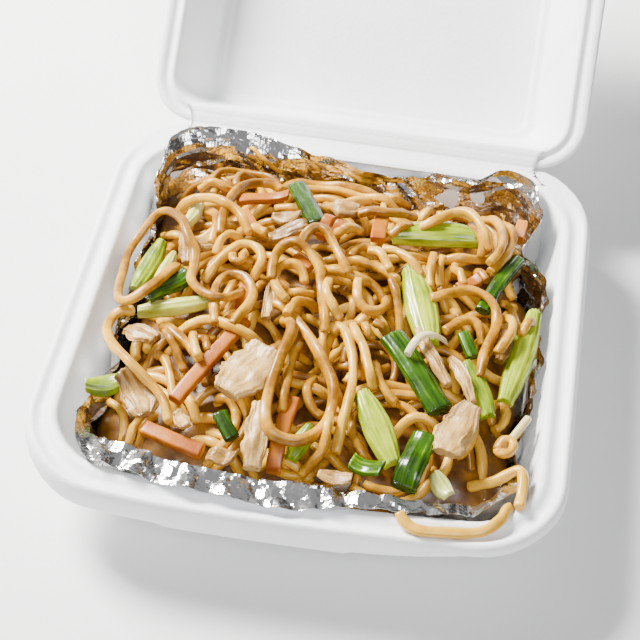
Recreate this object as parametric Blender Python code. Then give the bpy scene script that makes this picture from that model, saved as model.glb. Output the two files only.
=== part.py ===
# An open foam takeaway box with a crumpled foil liner, filled with thick noodles, sliced
# chicken, celery, spring onion and carrot strips.
# Sizes below are in millimetres and the meshes are in metres, +Z up. The origin lies on the
# plane that the box stands on, midway between its front lip and the hinge of its lid.

import math
import random

import bmesh
import bpy
from mathutils import Vector
from mathutils.bvhtree import BVHTree

MM = 0.001
SEED = 41

# Foam tray
TRAY_HALF_WIDTH = 117.5
TRAY_FRONT = -104.1
TRAY_BACK = 122.7
TRAY_FRONT_RADIUS = 36.0
TRAY_BACK_RADIUS = 45.0
TRAY_FRONT_BOW = 7.5
BOW_PEAK_X = -35.0
CORNER_TIGHTENING = 0.8
SMALLEST_CORNER = 7.0
RIM_HEIGHT = 44.7
LIP_HEIGHT = 39.5
SKIRT_DROP = 7.0
SKIRT_MIDDLE_X = -30.0
SKIRT_REACH = 105.0
SHELF_HEIGHT = 43.4
FLOOR_HEIGHT = 2.8
FOAM = 2.6
WALL_TOP_INSET = 14.0
WALL_FOOT_INSET = 26.0

# Hinge and lid
HINGE_Y = 116.6
HINGE_HEIGHT = 45.0
HINGE_GAP = 0.2
LID_HALF_WIDTH = 110.0
LID_LENGTH = 213.7
LID_BOW = 7.0
LID_FRONT_RADIUS = 34.0
LID_BACK_RADIUS = 24.0
LID_DEPTH = 26.0
LID_OPEN_ANGLE = 36.0

# Foil liner
FOIL_GAP = 0.45
FOIL_THICKNESS = 0.5

# Heap of noodles
HEAP_EDGE_HEIGHT = 38.0
HEAP_RISE = 13.5
HEAP_RADIUS_X = 98.0
HEAP_RADIUS_Y = 99.0
HEAP_BUMP = 0.9
NOODLE_RADIUS = 2.2
NOODLE_SIDES = 6
NOODLE_STEP = 5.6
NOODLE_ROWS = 5
NOODLE_COLUMNS = 5
NOODLE_POINTS = 18
NOODLE_TRIES = 14
NOODLE_CLEARANCE = 0.5
NOODLE_CHECKS = 5
NOODLE_CLIMB = 9.0
SIDE_MARGIN = 8.0
FRONT_MARGIN = 15.0
PIECE_GAP = 0.35
STEEPEST_TILT = 0.5

# Steps of an outline's corners and sides
CORNER_STEPS = 5
SIDE_STEPS = 3
BACK_STEPS = 5
FRONT_STEPS = 7

# Cuts along a slice of each section
STATIONS = {"bar": 4, "trough": 6, "tube": 5, "slab": 6, "strand": 5}

WHITE_FOAM = ((0.86, 0.87, 0.88), 0.62, 0.0)
BRIGHT_FOIL = ((0.80, 0.79, 0.78), 0.28, 1.0)
EGG_NOODLE = ((0.76, 0.50, 0.17), 0.36, 0.0)
COOKED_CHICKEN = ((0.74, 0.51, 0.33), 0.48, 0.0)
PALE_CELERY = ((0.46, 0.54, 0.09), 0.30, 0.0)
GREEN_ONION = ((0.05, 0.20, 0.02), 0.28, 0.0)
ORANGE_CARROT = ((0.80, 0.22, 0.02), 0.34, 0.0)
PALE_SPROUT = ((0.80, 0.74, 0.47), 0.30, 0.0)

# Each slice: name, finish, section, width, thickness and the plan points that it runs through
SLICES = (
    ("celery_1", PALE_CELERY, "trough", 10, 3.5, ((-88, 2), (-85, 16), (-82, 32))),
    ("celery_2", PALE_CELERY, "trough", 10, 4.0, ((-94, -57), (-86, -54), (-77, -51))),
    ("celery_3", PALE_CELERY, "trough", 14, 5.0, ((25, 52), (44, 60), (66, 60))),
    ("celery_4", PALE_CELERY, "trough", 15, 5.0, ((36, 31), (45, 8), (50, -11))),
    ("celery_5", PALE_CELERY, "trough", 13, 5.0, ((25, -44), (35, -59), (43, -74))),
    ("celery_6", PALE_CELERY, "trough", 12, 4.0, ((95, 22), (91, -3), (86, -31))),
    ("celery_7", PALE_CELERY, "trough", 8, 3.5, ((6, -64), (3, -71), (1, -79))),
    ("celery_8", PALE_CELERY, "trough", 11, 4.0, ((67, -17), (74, -28), (80, -41))),
    ("leek_1", PALE_CELERY, "trough", 7, 3.5, ((-71, 64), (-71, 54), (-73, 44))),
    ("leek_2", PALE_CELERY, "trough", 9, 4.0, ((-82, -12), (-66, -9), (-50, -5))),
    ("leek_3", PALE_CELERY, "trough", 9, 3.5, ((61, -74), (65, -79), (68, -83))),
    ("leek_4", PALE_CELERY, "trough", 6, 3.0, ((-79, 2), (-76, 13), (-74, 24))),
    ("spring_onion_1", GREEN_ONION, "tube", 11, 7.0, ((-26, 80), (-18, 64), (-11, 50))),
    ("spring_onion_2", GREEN_ONION, "tube", 10, 6.0, ((-79, -8), (-71, 1), (-64, 10))),
    ("spring_onion_3", GREEN_ONION, "tube", 8, 5.5, ((85, 55), (77, 35), (71, 15))),
    ("spring_onion_4", GREEN_ONION, "tube", 13, 6.5, ((33, -12), (46, -28), (59, -46))),
    ("spring_onion_5", GREEN_ONION, "tube", 13, 6.0, ((55, -59), (52, -71), (49, -84))),
    ("spring_onion_6", GREEN_ONION, "tube", 9, 4.5, ((26, -76), (33, -78), (39, -80))),
    ("spring_onion_7", GREEN_ONION, "tube", 7, 4.0, ((-33, -64), (-29, -69), (-26, -74))),
    ("spring_onion_8", GREEN_ONION, "tube", 7, 4.0, ((64, 0), (67, -6), (70, -12))),
    ("carrot_1", ORANGE_CARROT, "bar", 4.6, 4.0, ((-52, 62), (-40, 66), (-28, 67))),
    ("carrot_2", ORANGE_CARROT, "bar", 3.2, 3.0, ((-47, 56), (-42, 49), (-37, 42))),
    ("carrot_3", ORANGE_CARROT, "bar", 6.0, 4.5, ((-32, -14), (-43, -37), (-54, -60))),
    ("carrot_4", ORANGE_CARROT, "bar", 6.0, 4.5, ((-64, -74), (-50, -78), (-37, -82))),
    ("carrot_5", ORANGE_CARROT, "bar", 6.0, 4.5, ((-4, -52), (-5, -68), (-6, -85))),
    ("carrot_6", ORANGE_CARROT, "bar", 5.0, 4.5, ((85, 83), (84, 77), (83, 69))),
    ("carrot_7", ORANGE_CARROT, "bar", 5.4, 4.0, ((17, 63), (19, 56), (17, 49))),
    ("carrot_8", ORANGE_CARROT, "bar", 5.0, 4.0, ((59, 26), (63, 29), (68, 33))),
    ("carrot_9", ORANGE_CARROT, "bar", 4.6, 4.0, ((-4, 57), (-6, 50), (-8, 43))),
    ("carrot_10", ORANGE_CARROT, "bar", 4.6, 4.0, ((2, 52), (0, 46), (-2, 40))),
    ("carrot_11", ORANGE_CARROT, "bar", 5.0, 3.6, ((-36, 7), (-36, 0), (-36, -7))),
    ("carrot_12", ORANGE_CARROT, "bar", 4.4, 3.6, ((-17, 28), (-13, 25), (-9, 22))),
    ("chicken_1", COOKED_CHICKEN, "slab", 26, 6.5, ((-19, -30), (-25, -42), (-32, -56))),
    ("chicken_2", COOKED_CHICKEN, "slab", 13, 6.0, ((-16, -60), (-15, -74), (-14, -88))),
    ("chicken_3", COOKED_CHICKEN, "slab", 17, 6.0, ((-76, -52), (-70, -60), (-63, -67))),
    ("chicken_4", COOKED_CHICKEN, "slab", 10, 4.5, ((-34, -82), (-28, -84), (-22, -85))),
    ("chicken_5", COOKED_CHICKEN, "slab", 21, 7.5, ((71, -44), (68, -55), (64, -68))),
    ("chicken_6", COOKED_CHICKEN, "slab", 7, 4.5, ((44, -9), (52, -22), (61, -36))),
    ("chicken_7", COOKED_CHICKEN, "slab", 11, 6.0, ((-63, 29), (-58, 32), (-53, 36))),
    ("chicken_8", COOKED_CHICKEN, "slab", 9, 5.0, ((-33, 53), (-26, 52), (-19, 51))),
    ("chicken_9", COOKED_CHICKEN, "slab", 11, 6.0, ((-31, 37), (-23, 41), (-15, 43))),
    ("chicken_10", COOKED_CHICKEN, "slab", 13, 6.5, ((-6, 68), (0, 67), (6, 65))),
    ("chicken_11", COOKED_CHICKEN, "slab", 8, 5.0, ((-70, 31), (-68, 24), (-66, 17))),
    ("chicken_12", COOKED_CHICKEN, "slab", 11, 5.0, ((-85, -23), (-78, -26), (-70, -29))),
    ("chicken_13", COOKED_CHICKEN, "slab", 7, 3.5, ((14, -83), (20, -85), (27, -85))),
    ("chicken_14", COOKED_CHICKEN, "slab", 7, 4.5, ((-25, 12), (-24, 1), (-23, -11))),
    ("chicken_15", COOKED_CHICKEN, "slab", 8, 4.5, ((-51, -66), (-48, -70), (-45, -74))),
    ("chicken_16", COOKED_CHICKEN, "slab", 8, 4.5, ((82, 6), (83, -3), (81, -12))),
    ("chicken_17", COOKED_CHICKEN, "slab", 7, 4.5, ((60, -17), (67, -27), (72, -38))),
    ("sprout_1", PALE_SPROUT, "strand", 3.8, 3.6, ((42, -24), (48, -15), (57, -9))),
    ("sprout_2", PALE_SPROUT, "strand", 3.8, 3.6, ((97, -37), (92, -47), (86, -56))),
)

# The foil's torn edge: direction from the middle in degrees (0 is right, 90 is the hinge), the
# inset and height of its crest, and the inset and height of its hem
FOIL_EDGE = (
    (0, 20, 39, 18, 42),
    (22, 21, 40, 18, 45),
    (32, 30, 39, 30, 44),
    (42, 22, 42, 19, 48),
    (50, 18, 43, 13, 49),
    (64, 19, 41, 18, 45),
    (80, 19, 37, 20, 40),
    (100, 19, 42, 17, 46),
    (118, 18, 43, 12, 49),
    (132, 18, 44, 13, 50),
    (142, 22, 41, 22, 46),
    (160, 27, 38, 27, 42),
    (180, 27, 34, 27, 38),
    (206, 29, 36, 29, 40),
    (218, 24, 42, 21, 46),
    (230, 24, 46, 12, 47),
    (250, 20, 46.5, 9, 46.3),
    (270, 19, 46.5, 7, 46.0),
    (288, 19, 46, 11, 46.2),
    (304, 19, 45, 13, 46.3),
    (318, 21, 44, 17, 46.8),
    (330, 23, 40, 22, 44),
    (345, 22, 38, 21, 41),
)

rng = random.Random(SEED)


def finish(name, look):
    colour, roughness, metallic = look
    material = bpy.data.materials.new(name)
    material.use_nodes = True
    shader = material.node_tree.nodes["Principled BSDF"]
    shader.inputs["Base Color"].default_value = (*colour, 1.0)
    shader.inputs["Roughness"].default_value = roughness
    shader.inputs["Metallic"].default_value = metallic
    return material


def add_object(name, mesh, look):
    mesh.materials.append(finish(name, look))
    piece = bpy.data.objects.new(name, mesh)
    bpy.context.scene.collection.objects.link(piece)
    return piece


def smooth_mesh(bm, name, angle=50):
    bmesh.ops.recalc_face_normals(bm, faces=bm.faces)
    mesh = bpy.data.meshes.new(name)
    bm.to_mesh(mesh)
    bm.free()
    mesh.shade_smooth()
    mesh.set_sharp_from_angle(angle=math.radians(angle))
    return mesh


def clamp(value):
    return min(max(value, 0.0), 1.0)


def outline(half_width, front, back, front_radius, back_radius, bow):
    # Rounded rectangle, counterclockwise from its right front corner, with a bowed front
    corners = (
        (half_width - front_radius, front + front_radius, front_radius, -90),
        (half_width - back_radius, back - back_radius, back_radius, 0),
        (back_radius - half_width, back - back_radius, back_radius, 90),
        (front_radius - half_width, front + front_radius, front_radius, 180),
    )
    sides = (SIDE_STEPS, BACK_STEPS, SIDE_STEPS, FRONT_STEPS)
    arcs = []
    for x, y, radius, start in corners:
        turns = [math.radians(start + 90 * step / CORNER_STEPS) for step in range(CORNER_STEPS + 1)]
        arcs.append([(x + radius * math.cos(turn), y + radius * math.sin(turn)) for turn in turns])
    points = []
    for index, arc in enumerate(arcs):
        points.extend(arc)
        x0, y0 = arc[-1]
        x1, y1 = arcs[(index + 1) % 4][0]
        for step in range(1, sides[index] + 1):
            share = step / (sides[index] + 1)
            points.append((x0 + (x1 - x0) * share, y0 + (y1 - y0) * share))
    bowed = []
    for x, y in points:
        reach = half_width + BOW_PEAK_X if x < BOW_PEAK_X else half_width - BOW_PEAK_X
        push = bow * (1 - ((x - BOW_PEAK_X) / reach) ** 2) * clamp(y / front) ** 4
        bowed.append((x, y - push))
    return bowed


def tray_outline(inset):
    return outline(
        TRAY_HALF_WIDTH - inset,
        TRAY_FRONT + inset,
        TRAY_BACK - inset,
        max(TRAY_FRONT_RADIUS - CORNER_TIGHTENING * inset, SMALLEST_CORNER),
        max(TRAY_BACK_RADIUS - CORNER_TIGHTENING * inset, SMALLEST_CORNER),
        TRAY_FRONT_BOW * (1 - inset / TRAY_HALF_WIDTH),
    )


def cap(bm, loop, rise):
    # A fan of triangles across a ring, its middle raised by a height in millimetres
    middle = sum((vert.co for vert in loop), Vector()) / len(loop)
    crown = bm.verts.new(middle + Vector((0, 0, rise * MM)))
    for first, second in zip(loop, loop[1:] + loop[:1]):
        bm.faces.new((first, second, crown))


def loft(rings, fans=None):
    # A closed skin through rings of points in millimetres, each end closed by one face or by a
    # fan whose middle is raised
    bm = bmesh.new()
    loops = [[bm.verts.new(Vector(point) * MM) for point in ring] for ring in rings]
    count = len(loops[0])
    for lower, upper in zip(loops, loops[1:]):
        for index in range(count):
            following = (index + 1) % count
            bm.faces.new((lower[index], lower[following], upper[following], upper[index]))
    if fans:
        cap(bm, list(reversed(loops[0])), fans[0])
        cap(bm, loops[-1], fans[1])
    else:
        bm.faces.new(list(reversed(loops[0])))
        bm.faces.new(loops[-1])
    return bm


def front_share(x, y):
    # How far a point lies along the deep front of the rim: 1 in its middle and 0 at the sides
    return clamp((-y - 55) / 45) * clamp(1.1 - ((x - SKIRT_MIDDLE_X) / SKIRT_REACH) ** 4)


def ridge_share(y):
    # The rim's two ridges fade into a plain shelf ahead of the back corners
    return 1 - clamp((y - 82) / 16)


def build_tray():
    # Rows of inset, height and the share of the front skirt's drop, from the base to the floor
    slope = (WALL_FOOT_INSET - WALL_TOP_INSET) / (SHELF_HEIGHT - FLOOR_HEIGHT - 4)
    wall_top = WALL_TOP_INSET - FOAM + 4.5 * slope
    rows = (
        (WALL_FOOT_INSET + 4.0, 0.0, 0.0),
        (WALL_FOOT_INSET + 0.4, 0.8, 0.0),
        (WALL_FOOT_INSET - 1.5, 3.6, 0.0),
        (wall_top, RIM_HEIGHT - 6.0, 0.0),
        (wall_top - 2.4, RIM_HEIGHT - 3.7, 0.0),
        (4.6, RIM_HEIGHT - 3.7, 0.45),
        (2.7, LIP_HEIGHT, 1.0),
        (0.5, LIP_HEIGHT, 1.0),
        (0.0, LIP_HEIGHT + 1.4, 0.95),
        (1.5, RIM_HEIGHT - 0.9, 0.2),
        (2.9, RIM_HEIGHT, 0.0),
        (5.0, RIM_HEIGHT - 1.1, 0.0),
        (7.0, RIM_HEIGHT - 1.9, 0.0),
        (9.2, RIM_HEIGHT - 1.0, 0.0),
        (11.2, RIM_HEIGHT, 0.0),
        (WALL_TOP_INSET - 0.6, RIM_HEIGHT - 0.7, 0.0),
        (WALL_TOP_INSET + 0.6, RIM_HEIGHT - 3.4, 0.0),
        (WALL_FOOT_INSET, FLOOR_HEIGHT + 4.4, 0.0),
        (WALL_FOOT_INSET + 2.4, FLOOR_HEIGHT + 0.9, 0.0),
        (WALL_FOOT_INSET + 6.0, FLOOR_HEIGHT, 0.0),
    )
    rings = []
    for inset, height, drop in rows:
        ring = []
        back_limit = HINGE_Y - HINGE_GAP - 0.35 * inset
        for x, y in tray_outline(inset):
            level = height - SKIRT_DROP * drop * front_share(x, y)
            if height > SHELF_HEIGHT - 1.0 and inset < WALL_TOP_INSET:
                level = SHELF_HEIGHT + (level - SHELF_HEIGHT) * ridge_share(y)
            ring.append((x, min(y, back_limit), level))
        rings.append(ring)
    bm = loft(rings)
    return add_object("tray", smooth_mesh(bm, "tray"), WHITE_FOAM)


def build_lid(hinge):
    # Rows of inset at the sides, inset at the hinge and height over the lid's own rim plane
    rows = (
        (33.0, 21.5, -LID_DEPTH - FOAM),
        (25.5, 17.0, -LID_DEPTH - FOAM),
        (21.8, 14.4, -LID_DEPTH - FOAM + 2.2),
        (8.3, 6.4, -FOAM - 1.4),
        (6.6, 5.2, -FOAM - 0.6),
        (0.8, 0.8, -FOAM - 0.6),
        (0.0, 0.0, -FOAM),
        (0.4, 0.4, -0.8),
        (1.6, 1.4, -0.3),
        (4.0, 3.2, -0.3),
        (5.4, 4.2, -1.3),
        (7.4, 5.8, -1.3),
        (9.0, 7.4, -0.4),
        (11.0, 9.0, -1.6),
        (24.2, 16.6, -LID_DEPTH + 2.0),
        (27.0, 18.4, -LID_DEPTH),
        (33.4, 21.6, -LID_DEPTH),
        (34.8, 22.8, -LID_DEPTH - 0.9),
    )
    rings = []
    for inset, back_inset, height in rows:
        ring = outline(
            LID_HALF_WIDTH - inset,
            -LID_LENGTH + inset,
            -HINGE_GAP - back_inset,
            max(LID_FRONT_RADIUS - inset, 9.0),
            max(LID_BACK_RADIUS - back_inset, 8.0),
            LID_BOW * (1 - inset / LID_HALF_WIDTH),
        )
        rings.append([(x, y, -height) for x, y in ring])
    bm = loft(rings)
    lid = add_object("lid", smooth_mesh(bm, "lid"), WHITE_FOAM)
    lid.parent = hinge


def foil_edge(x, y):
    # Crest and hem of the foil in the direction of a plan point
    angle = math.degrees(math.atan2(y, x)) % 360
    rows = FOIL_EDGE + ((FOIL_EDGE[0][0] + 360, *FOIL_EDGE[0][1:]),)
    for first, second in zip(rows, rows[1:]):
        if first[0] <= angle <= second[0]:
            share = (angle - first[0]) / (second[0] - first[0])
            ease = share * share * (3 - 2 * share)
            return [low + (high - low) * ease for low, high in zip(first[1:], second[1:])]
    return list(FOIL_EDGE[0][1:])


def wall_inset(height):
    # Inset of the tray's inner wall at a height
    slope = (WALL_FOOT_INSET - WALL_TOP_INSET - 0.6) / (RIM_HEIGHT - 3.4 - FLOOR_HEIGHT - 4.4)
    return WALL_TOP_INSET + 0.6 + slope * (RIM_HEIGHT - 3.4 - height)


def lining_ring(offset, height, share=0.0, rise=0.0):
    # Ring that lies between the tray's wall (share 0) and below the foil's crest (share 1)
    ring = []
    count = len(tray_outline(0))
    for index in range(count):
        x, y = tray_outline(WALL_TOP_INSET)[index]
        crest_inset = foil_edge(x, y)[0]
        inset = wall_inset(height)
        inset += max(crest_inset - wall_inset(height), 0.0) * share + offset
        x, y = tray_outline(inset)[index]
        ring.append((x, y, height + rise))
    return ring


def foil_rings(offset):
    # One face of the liner from its hem down to the floor, offset in from the tray's inside
    hem = []
    crest = []
    count = len(tray_outline(0))
    for index in range(count):
        x, y = tray_outline(WALL_TOP_INSET)[index]
        crest_inset, crest_height, hem_inset, hem_height = foil_edge(x, y)
        ruffle = 0.7 * math.sin(0.31 * x + 0.17 * y) + 0.5 * math.sin(0.53 * x - 0.29 * y)
        folded = clamp((crest_inset - hem_inset - 3) / 6)
        lowered = (FOIL_THICKNESS + FOIL_GAP - offset) * folded
        x, y = tray_outline(hem_inset + offset * (1 - folded))[index]
        hem.append((x, y, hem_height + ruffle * (1 - folded) - lowered))
        x, y = tray_outline(crest_inset + offset)[index]
        crest.append((x, y, crest_height - lowered))
    foot = WALL_FOOT_INSET + 2.6 + offset
    floor = WALL_FOOT_INSET + 6.0 + offset
    return [
        hem,
        crest,
        lining_ring(offset, FLOOR_HEIGHT + 20.0, 0.45),
        lining_ring(offset, FLOOR_HEIGHT + 4.6, 0.0, 0.35 * offset),
        [(x, y, FLOOR_HEIGHT + 1.1 + offset) for x, y in tray_outline(foot)],
        [(x, y, FLOOR_HEIGHT + 0.1 + offset) for x, y in tray_outline(floor)],
    ]


def build_foil():
    outside = foil_rings(FOIL_GAP)
    inside = foil_rings(FOIL_GAP + FOIL_THICKNESS)
    bm = loft(list(reversed(outside)) + inside, fans=(-0.1, 0.3))
    bmesh.ops.triangulate(bm, faces=bm.faces)
    return add_object("foil", smooth_mesh(bm, "foil", 30), BRIGHT_FOIL)


def heap_top(x, y):
    # Height of the bare heap: a flat dome that is lower at the back than at the front
    across = abs(x) / HEAP_RADIUS_X
    along = abs(y + 1) / HEAP_RADIUS_Y
    reach = (across ** 4 + along ** 4) ** 0.25
    dome = HEAP_RISE * (1 - min(reach, 1.0) ** 3)
    tilt = -2.0 * clamp(y / HEAP_RADIUS_Y)
    bumps = HEAP_BUMP * (math.sin(x / 9.0) * math.cos(y / 11.0) + 0.6 * math.sin((x + y) / 15.0))
    return HEAP_EDGE_HEIGHT + dome + tilt + bumps


def build_core():
    clear = FOIL_GAP + FOIL_THICKNESS + PIECE_GAP
    foot = WALL_FOOT_INSET + 3.0 + clear
    rings = [
        [(x, y, FLOOR_HEIGHT + 1.7) for x, y in tray_outline(foot + 4.0)],
        [(x, y, FLOOR_HEIGHT + 2.6) for x, y in tray_outline(foot)],
        lining_ring(clear + 0.4, FLOOR_HEIGHT + 6.0),
        lining_ring(clear + 0.5, FLOOR_HEIGHT + 20.0, 0.5),
        lining_ring(clear + 1.2, HEAP_EDGE_HEIGHT - 8.0, 1.0),
    ]
    shoulder = lining_ring(clear + 3.0, HEAP_EDGE_HEIGHT - 8.0, 1.0)
    rings.append([(x, y, heap_top(x, y) - 1.0) for x, y, height in shoulder])
    for inset in (38.0, 48.0, 60.0, 75.0, 92.0):
        rings.append([(x, y, heap_top(x, y)) for x, y in tray_outline(inset)])
    bm = loft(rings, fans=(0.0, 0.0))
    bmesh.ops.triangulate(bm, faces=bm.faces)
    return add_object("noodle_heap", smooth_mesh(bm, "noodle_heap"), EGG_NOODLE)


def surface_tree(piece):
    bm = bmesh.new()
    bm.from_mesh(piece.data)
    tree = BVHTree.FromBMesh(bm)
    bm.free()
    return tree


def height_over(trees, x, y):
    # Top of whatever lies under a plan point, in millimetres
    top = 0.0
    for tree in trees:
        hit = tree.ray_cast(Vector((x * MM, y * MM, 0.2)), Vector((0, 0, -1)))
        if hit[0] is not None:
            top = max(top, hit[0].z / MM)
    return top


def rest_height(trees, x, y, reach=2.5):
    spots = [(x, y)]
    for turn in range(6):
        angle = math.pi * turn / 3
        spots.append((x + reach * math.cos(angle), y + reach * math.sin(angle)))
    return max(height_over(trees, *spot) for spot in spots)


def spine_points(controls, count):
    # Evenly spaced points on the curve through a slice's three plan points
    start, middle, end = (Vector(point) for point in controls)
    handle = middle * 2 - (start + end) / 2
    points = []
    for step in range(count):
        share = step / (count - 1)
        rest = 1 - share
        points.append(start * rest ** 2 + handle * 2 * rest * share + end * share ** 2)
    return points


def section(kind, share, width, thickness):
    # Offsets across and up of one cut through a slice, share running from end to end
    half = width / 2
    if kind == "bar":
        return ((-half, 0), (half, 0), (half, thickness), (-half, thickness))
    if kind == "trough":
        taper = 0.42 + 0.58 * math.sin(math.pi * min(max(share, 0.06), 0.94)) ** 0.7
        half *= taper
        return (
            (-half, 0),
            (half, 0),
            (half * 0.72, thickness * 0.85),
            (0, thickness * 1.25),
            (-half * 0.72, thickness * 0.85),
        )
    sides = 5 if kind == "strand" else 8
    offsets = []
    for side in range(sides):
        angle = 2 * math.pi * (side + 0.5) / sides
        across = half * math.cos(angle)
        up = thickness * (0.5 + 0.5 * math.sin(angle))
        if kind == "slab":
            taper = 0.5 + 0.5 * math.sin(math.pi * min(max(share, 0.1), 0.9)) ** 0.8
            across *= taper * rng.uniform(0.82, 1.18)
            up = max(up * rng.uniform(0.78, 1.2), 0.0)
        offsets.append((across, up))
    return offsets


def build_slice(name, look, kind, width, thickness, controls, trees):
    count = STATIONS[kind]
    spine = spine_points(controls, count)
    rings = []
    for step, point in enumerate(spine):
        ahead = spine[min(step + 1, count - 1)] - spine[max(step - 1, 0)]
        side = Vector((-ahead.y, ahead.x)).normalized()
        left, middle, right = (
            rest_height(trees, *(point - side * across)) for across in (-width / 2, 0, width / 2)
        )
        tilt = min(max((right - left) / width, -STEEPEST_TILT), STEEPEST_TILT)
        base = max(left + tilt * width / 2, middle, right - tilt * width / 2) + PIECE_GAP
        ring = []
        for across, up in section(kind, step / (count - 1), width, thickness):
            spot = point - side * across
            ring.append((spot.x, spot.y, base + tilt * across + up))
        rings.append(ring)
    bm = loft(rings)
    bmesh.ops.triangulate(bm, faces=bm.faces)
    raise_clear(bm, trees)
    return add_object(name, smooth_mesh(bm, name, 60), look)


def raise_clear(bm, trees):
    # Lifts a slice in small steps until it touches nothing that it lies on
    step = Vector((0, 0, 0.4 * MM))
    for attempt in range(40):
        own = BVHTree.FromBMesh(bm)
        if not any(own.overlap(tree) for tree in trees):
            break
        bmesh.ops.translate(bm, verts=bm.verts, vec=step)
    bmesh.ops.translate(bm, verts=bm.verts, vec=Vector((0, 0, PIECE_GAP * MM)))


def is_clear(trees, start, end):
    # Whether a noodle's straight step between two points misses the slices and the foil
    reach = (NOODLE_RADIUS + NOODLE_CLEARANCE) * MM
    for part in range(1, NOODLE_CHECKS + 1):
        spot = start.lerp(end, part / NOODLE_CHECKS)
        if min(tree.find_nearest(spot)[3] for tree in trees) < reach:
            return False
    return True


def next_point(trees, previous, x, y, low):
    # The lowest clear place for a noodle's next point, or None where nothing near is clear
    z = low
    while z < low + NOODLE_CLIMB:
        point = Vector((x, y, z)) * MM
        if is_clear(trees, previous or point, point):
            return point
        z += 0.8
    return None


def noodle_path(x, y, trees):
    # A loose curl over the heap that climbs over slices and stops at what it can't clear
    heading = rng.uniform(0, 2 * math.pi)
    curl = rng.choice((-1, 1)) * rng.uniform(0.035, 0.08)
    wave = rng.uniform(0.4, 1.0)
    lift = rng.uniform(0.4, 2.6)
    points = []
    lows = []
    for step in range(NOODLE_POINTS):
        share = step / (NOODLE_POINTS - 1)
        low = heap_top(x, y) + 0.3 + lift * math.sin(math.pi * share)
        point = next_point(trees, points[-1] if points else None, x, y, low)
        outside = abs(x) > HEAP_RADIUS_X - SIDE_MARGIN or abs(y) > HEAP_RADIUS_Y - FRONT_MARGIN
        if point is None or outside or (not points and point.z > (low + 0.1) * MM):
            break
        points.append(point)
        lows.append(low * MM)
        heading += curl * NOODLE_STEP * (1 + wave * math.sin(share * 7.0))
        x += NOODLE_STEP * math.cos(heading)
        y += NOODLE_STEP * math.sin(heading)
    while points and points[-1].z > lows[-1] + 1.2 * MM:
        points.pop()
        lows.pop()
    return points


def noodle_tube(points, index):
    curve = bpy.data.curves.new(f"noodle_{index}", "CURVE")
    curve.dimensions = "3D"
    curve.bevel_depth = NOODLE_RADIUS * MM
    curve.bevel_resolution = (NOODLE_SIDES - 4) // 2
    curve.use_fill_caps = True
    spline = curve.splines.new("POLY")
    spline.points.add(len(points) - 1)
    for target, point in zip(spline.points, points):
        target.co = (*point, 1.0)
    tube = bpy.data.objects.new(f"noodle_{index}", curve)
    mesh = bpy.data.meshes.new_from_object(tube)
    bpy.data.objects.remove(tube)
    bpy.data.curves.remove(curve)
    return bpy.data.objects.new(f"noodle_{index}", mesh)


def keep_largest(bm):
    # Drops the loose scraps and sealed hollows that joining the noodles can leave
    left = set(bm.verts)
    islands = []
    while left:
        stack = [left.pop()]
        island = []
        while stack:
            vert = stack.pop()
            island.append(vert)
            for edge in vert.link_edges:
                other = edge.other_vert(vert)
                if other in left:
                    left.remove(other)
                    stack.append(other)
        islands.append(island)
    islands.sort(key=len, reverse=True)
    scraps = [vert for island in islands[1:] for vert in island]
    bmesh.ops.delete(bm, geom=scraps, context="VERTS")


def fuse_noodles(core, trees):
    gathered = bpy.data.collections.new("noodles")
    bpy.context.scene.collection.children.link(gathered)
    index = 0
    for row in range(NOODLE_ROWS):
        for column in range(NOODLE_COLUMNS):
            x = HEAP_RADIUS_X * 0.8 * (2 * column / (NOODLE_COLUMNS - 1) - 1)
            y = HEAP_RADIUS_Y * 0.76 * (2 * row / (NOODLE_ROWS - 1) - 1)
            starts = [(x + rng.uniform(-12, 12), y + rng.uniform(-12, 12)) for _ in range(NOODLE_TRIES)]
            points = max((noodle_path(*start, trees) for start in starts), key=len)
            if len(points) > 6:
                gathered.objects.link(noodle_tube(points, index))
                index += 1
    join = core.modifiers.new("join", "BOOLEAN")
    join.operation = "UNION"
    join.operand_type = "COLLECTION"
    join.collection = gathered
    join.solver = "EXACT"
    mesh = bpy.data.meshes.new_from_object(core.evaluated_get(bpy.context.evaluated_depsgraph_get()))
    core.modifiers.remove(join)
    for tube in list(gathered.objects):
        bpy.data.objects.remove(tube)
    bpy.data.collections.remove(gathered)
    bm = bmesh.new()
    bm.from_mesh(mesh)
    bmesh.ops.remove_doubles(bm, verts=bm.verts, dist=0.03 * MM)
    bmesh.ops.dissolve_degenerate(bm, edges=bm.edges, dist=0.01 * MM)
    bmesh.ops.triangulate(bm, faces=bm.faces)
    keep_largest(bm)
    bm.to_mesh(core.data)
    bm.free()
    core.data.shade_smooth()
    core.data.set_sharp_from_angle(angle=math.radians(50))


def main():
    for item in list(bpy.data.objects):
        bpy.data.objects.remove(item)
    hinge = bpy.data.objects.new("hinge", None)
    bpy.context.scene.collection.objects.link(hinge)
    hinge.location = (0, HINGE_Y * MM, HINGE_HEIGHT * MM)
    # The lid is drawn closed over the tray, then swung open about its hinge
    hinge.rotation_euler = (math.radians(LID_OPEN_ANGLE - 180), 0, 0)
    tray = build_tray()
    build_lid(hinge)
    foil = build_foil()
    core = build_core()
    trees = [surface_tree(core), surface_tree(foil), surface_tree(tray)]
    slices = []
    for name, look, kind, width, thickness, controls in SLICES:
        piece = build_slice(name, look, kind, width, thickness, controls, trees)
        slices.append(surface_tree(piece))
        trees.append(slices[-1])
    bpy.context.view_layer.update()
    fuse_noodles(core, [surface_tree(foil)] + slices)


main()
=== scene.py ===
# An open foam takeaway box of noodles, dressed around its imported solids.
import math
import random

import bmesh
import bpy
import numpy as np
from mathutils import Matrix, Vector, noise
from mathutils.bvhtree import BVHTree


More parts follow.
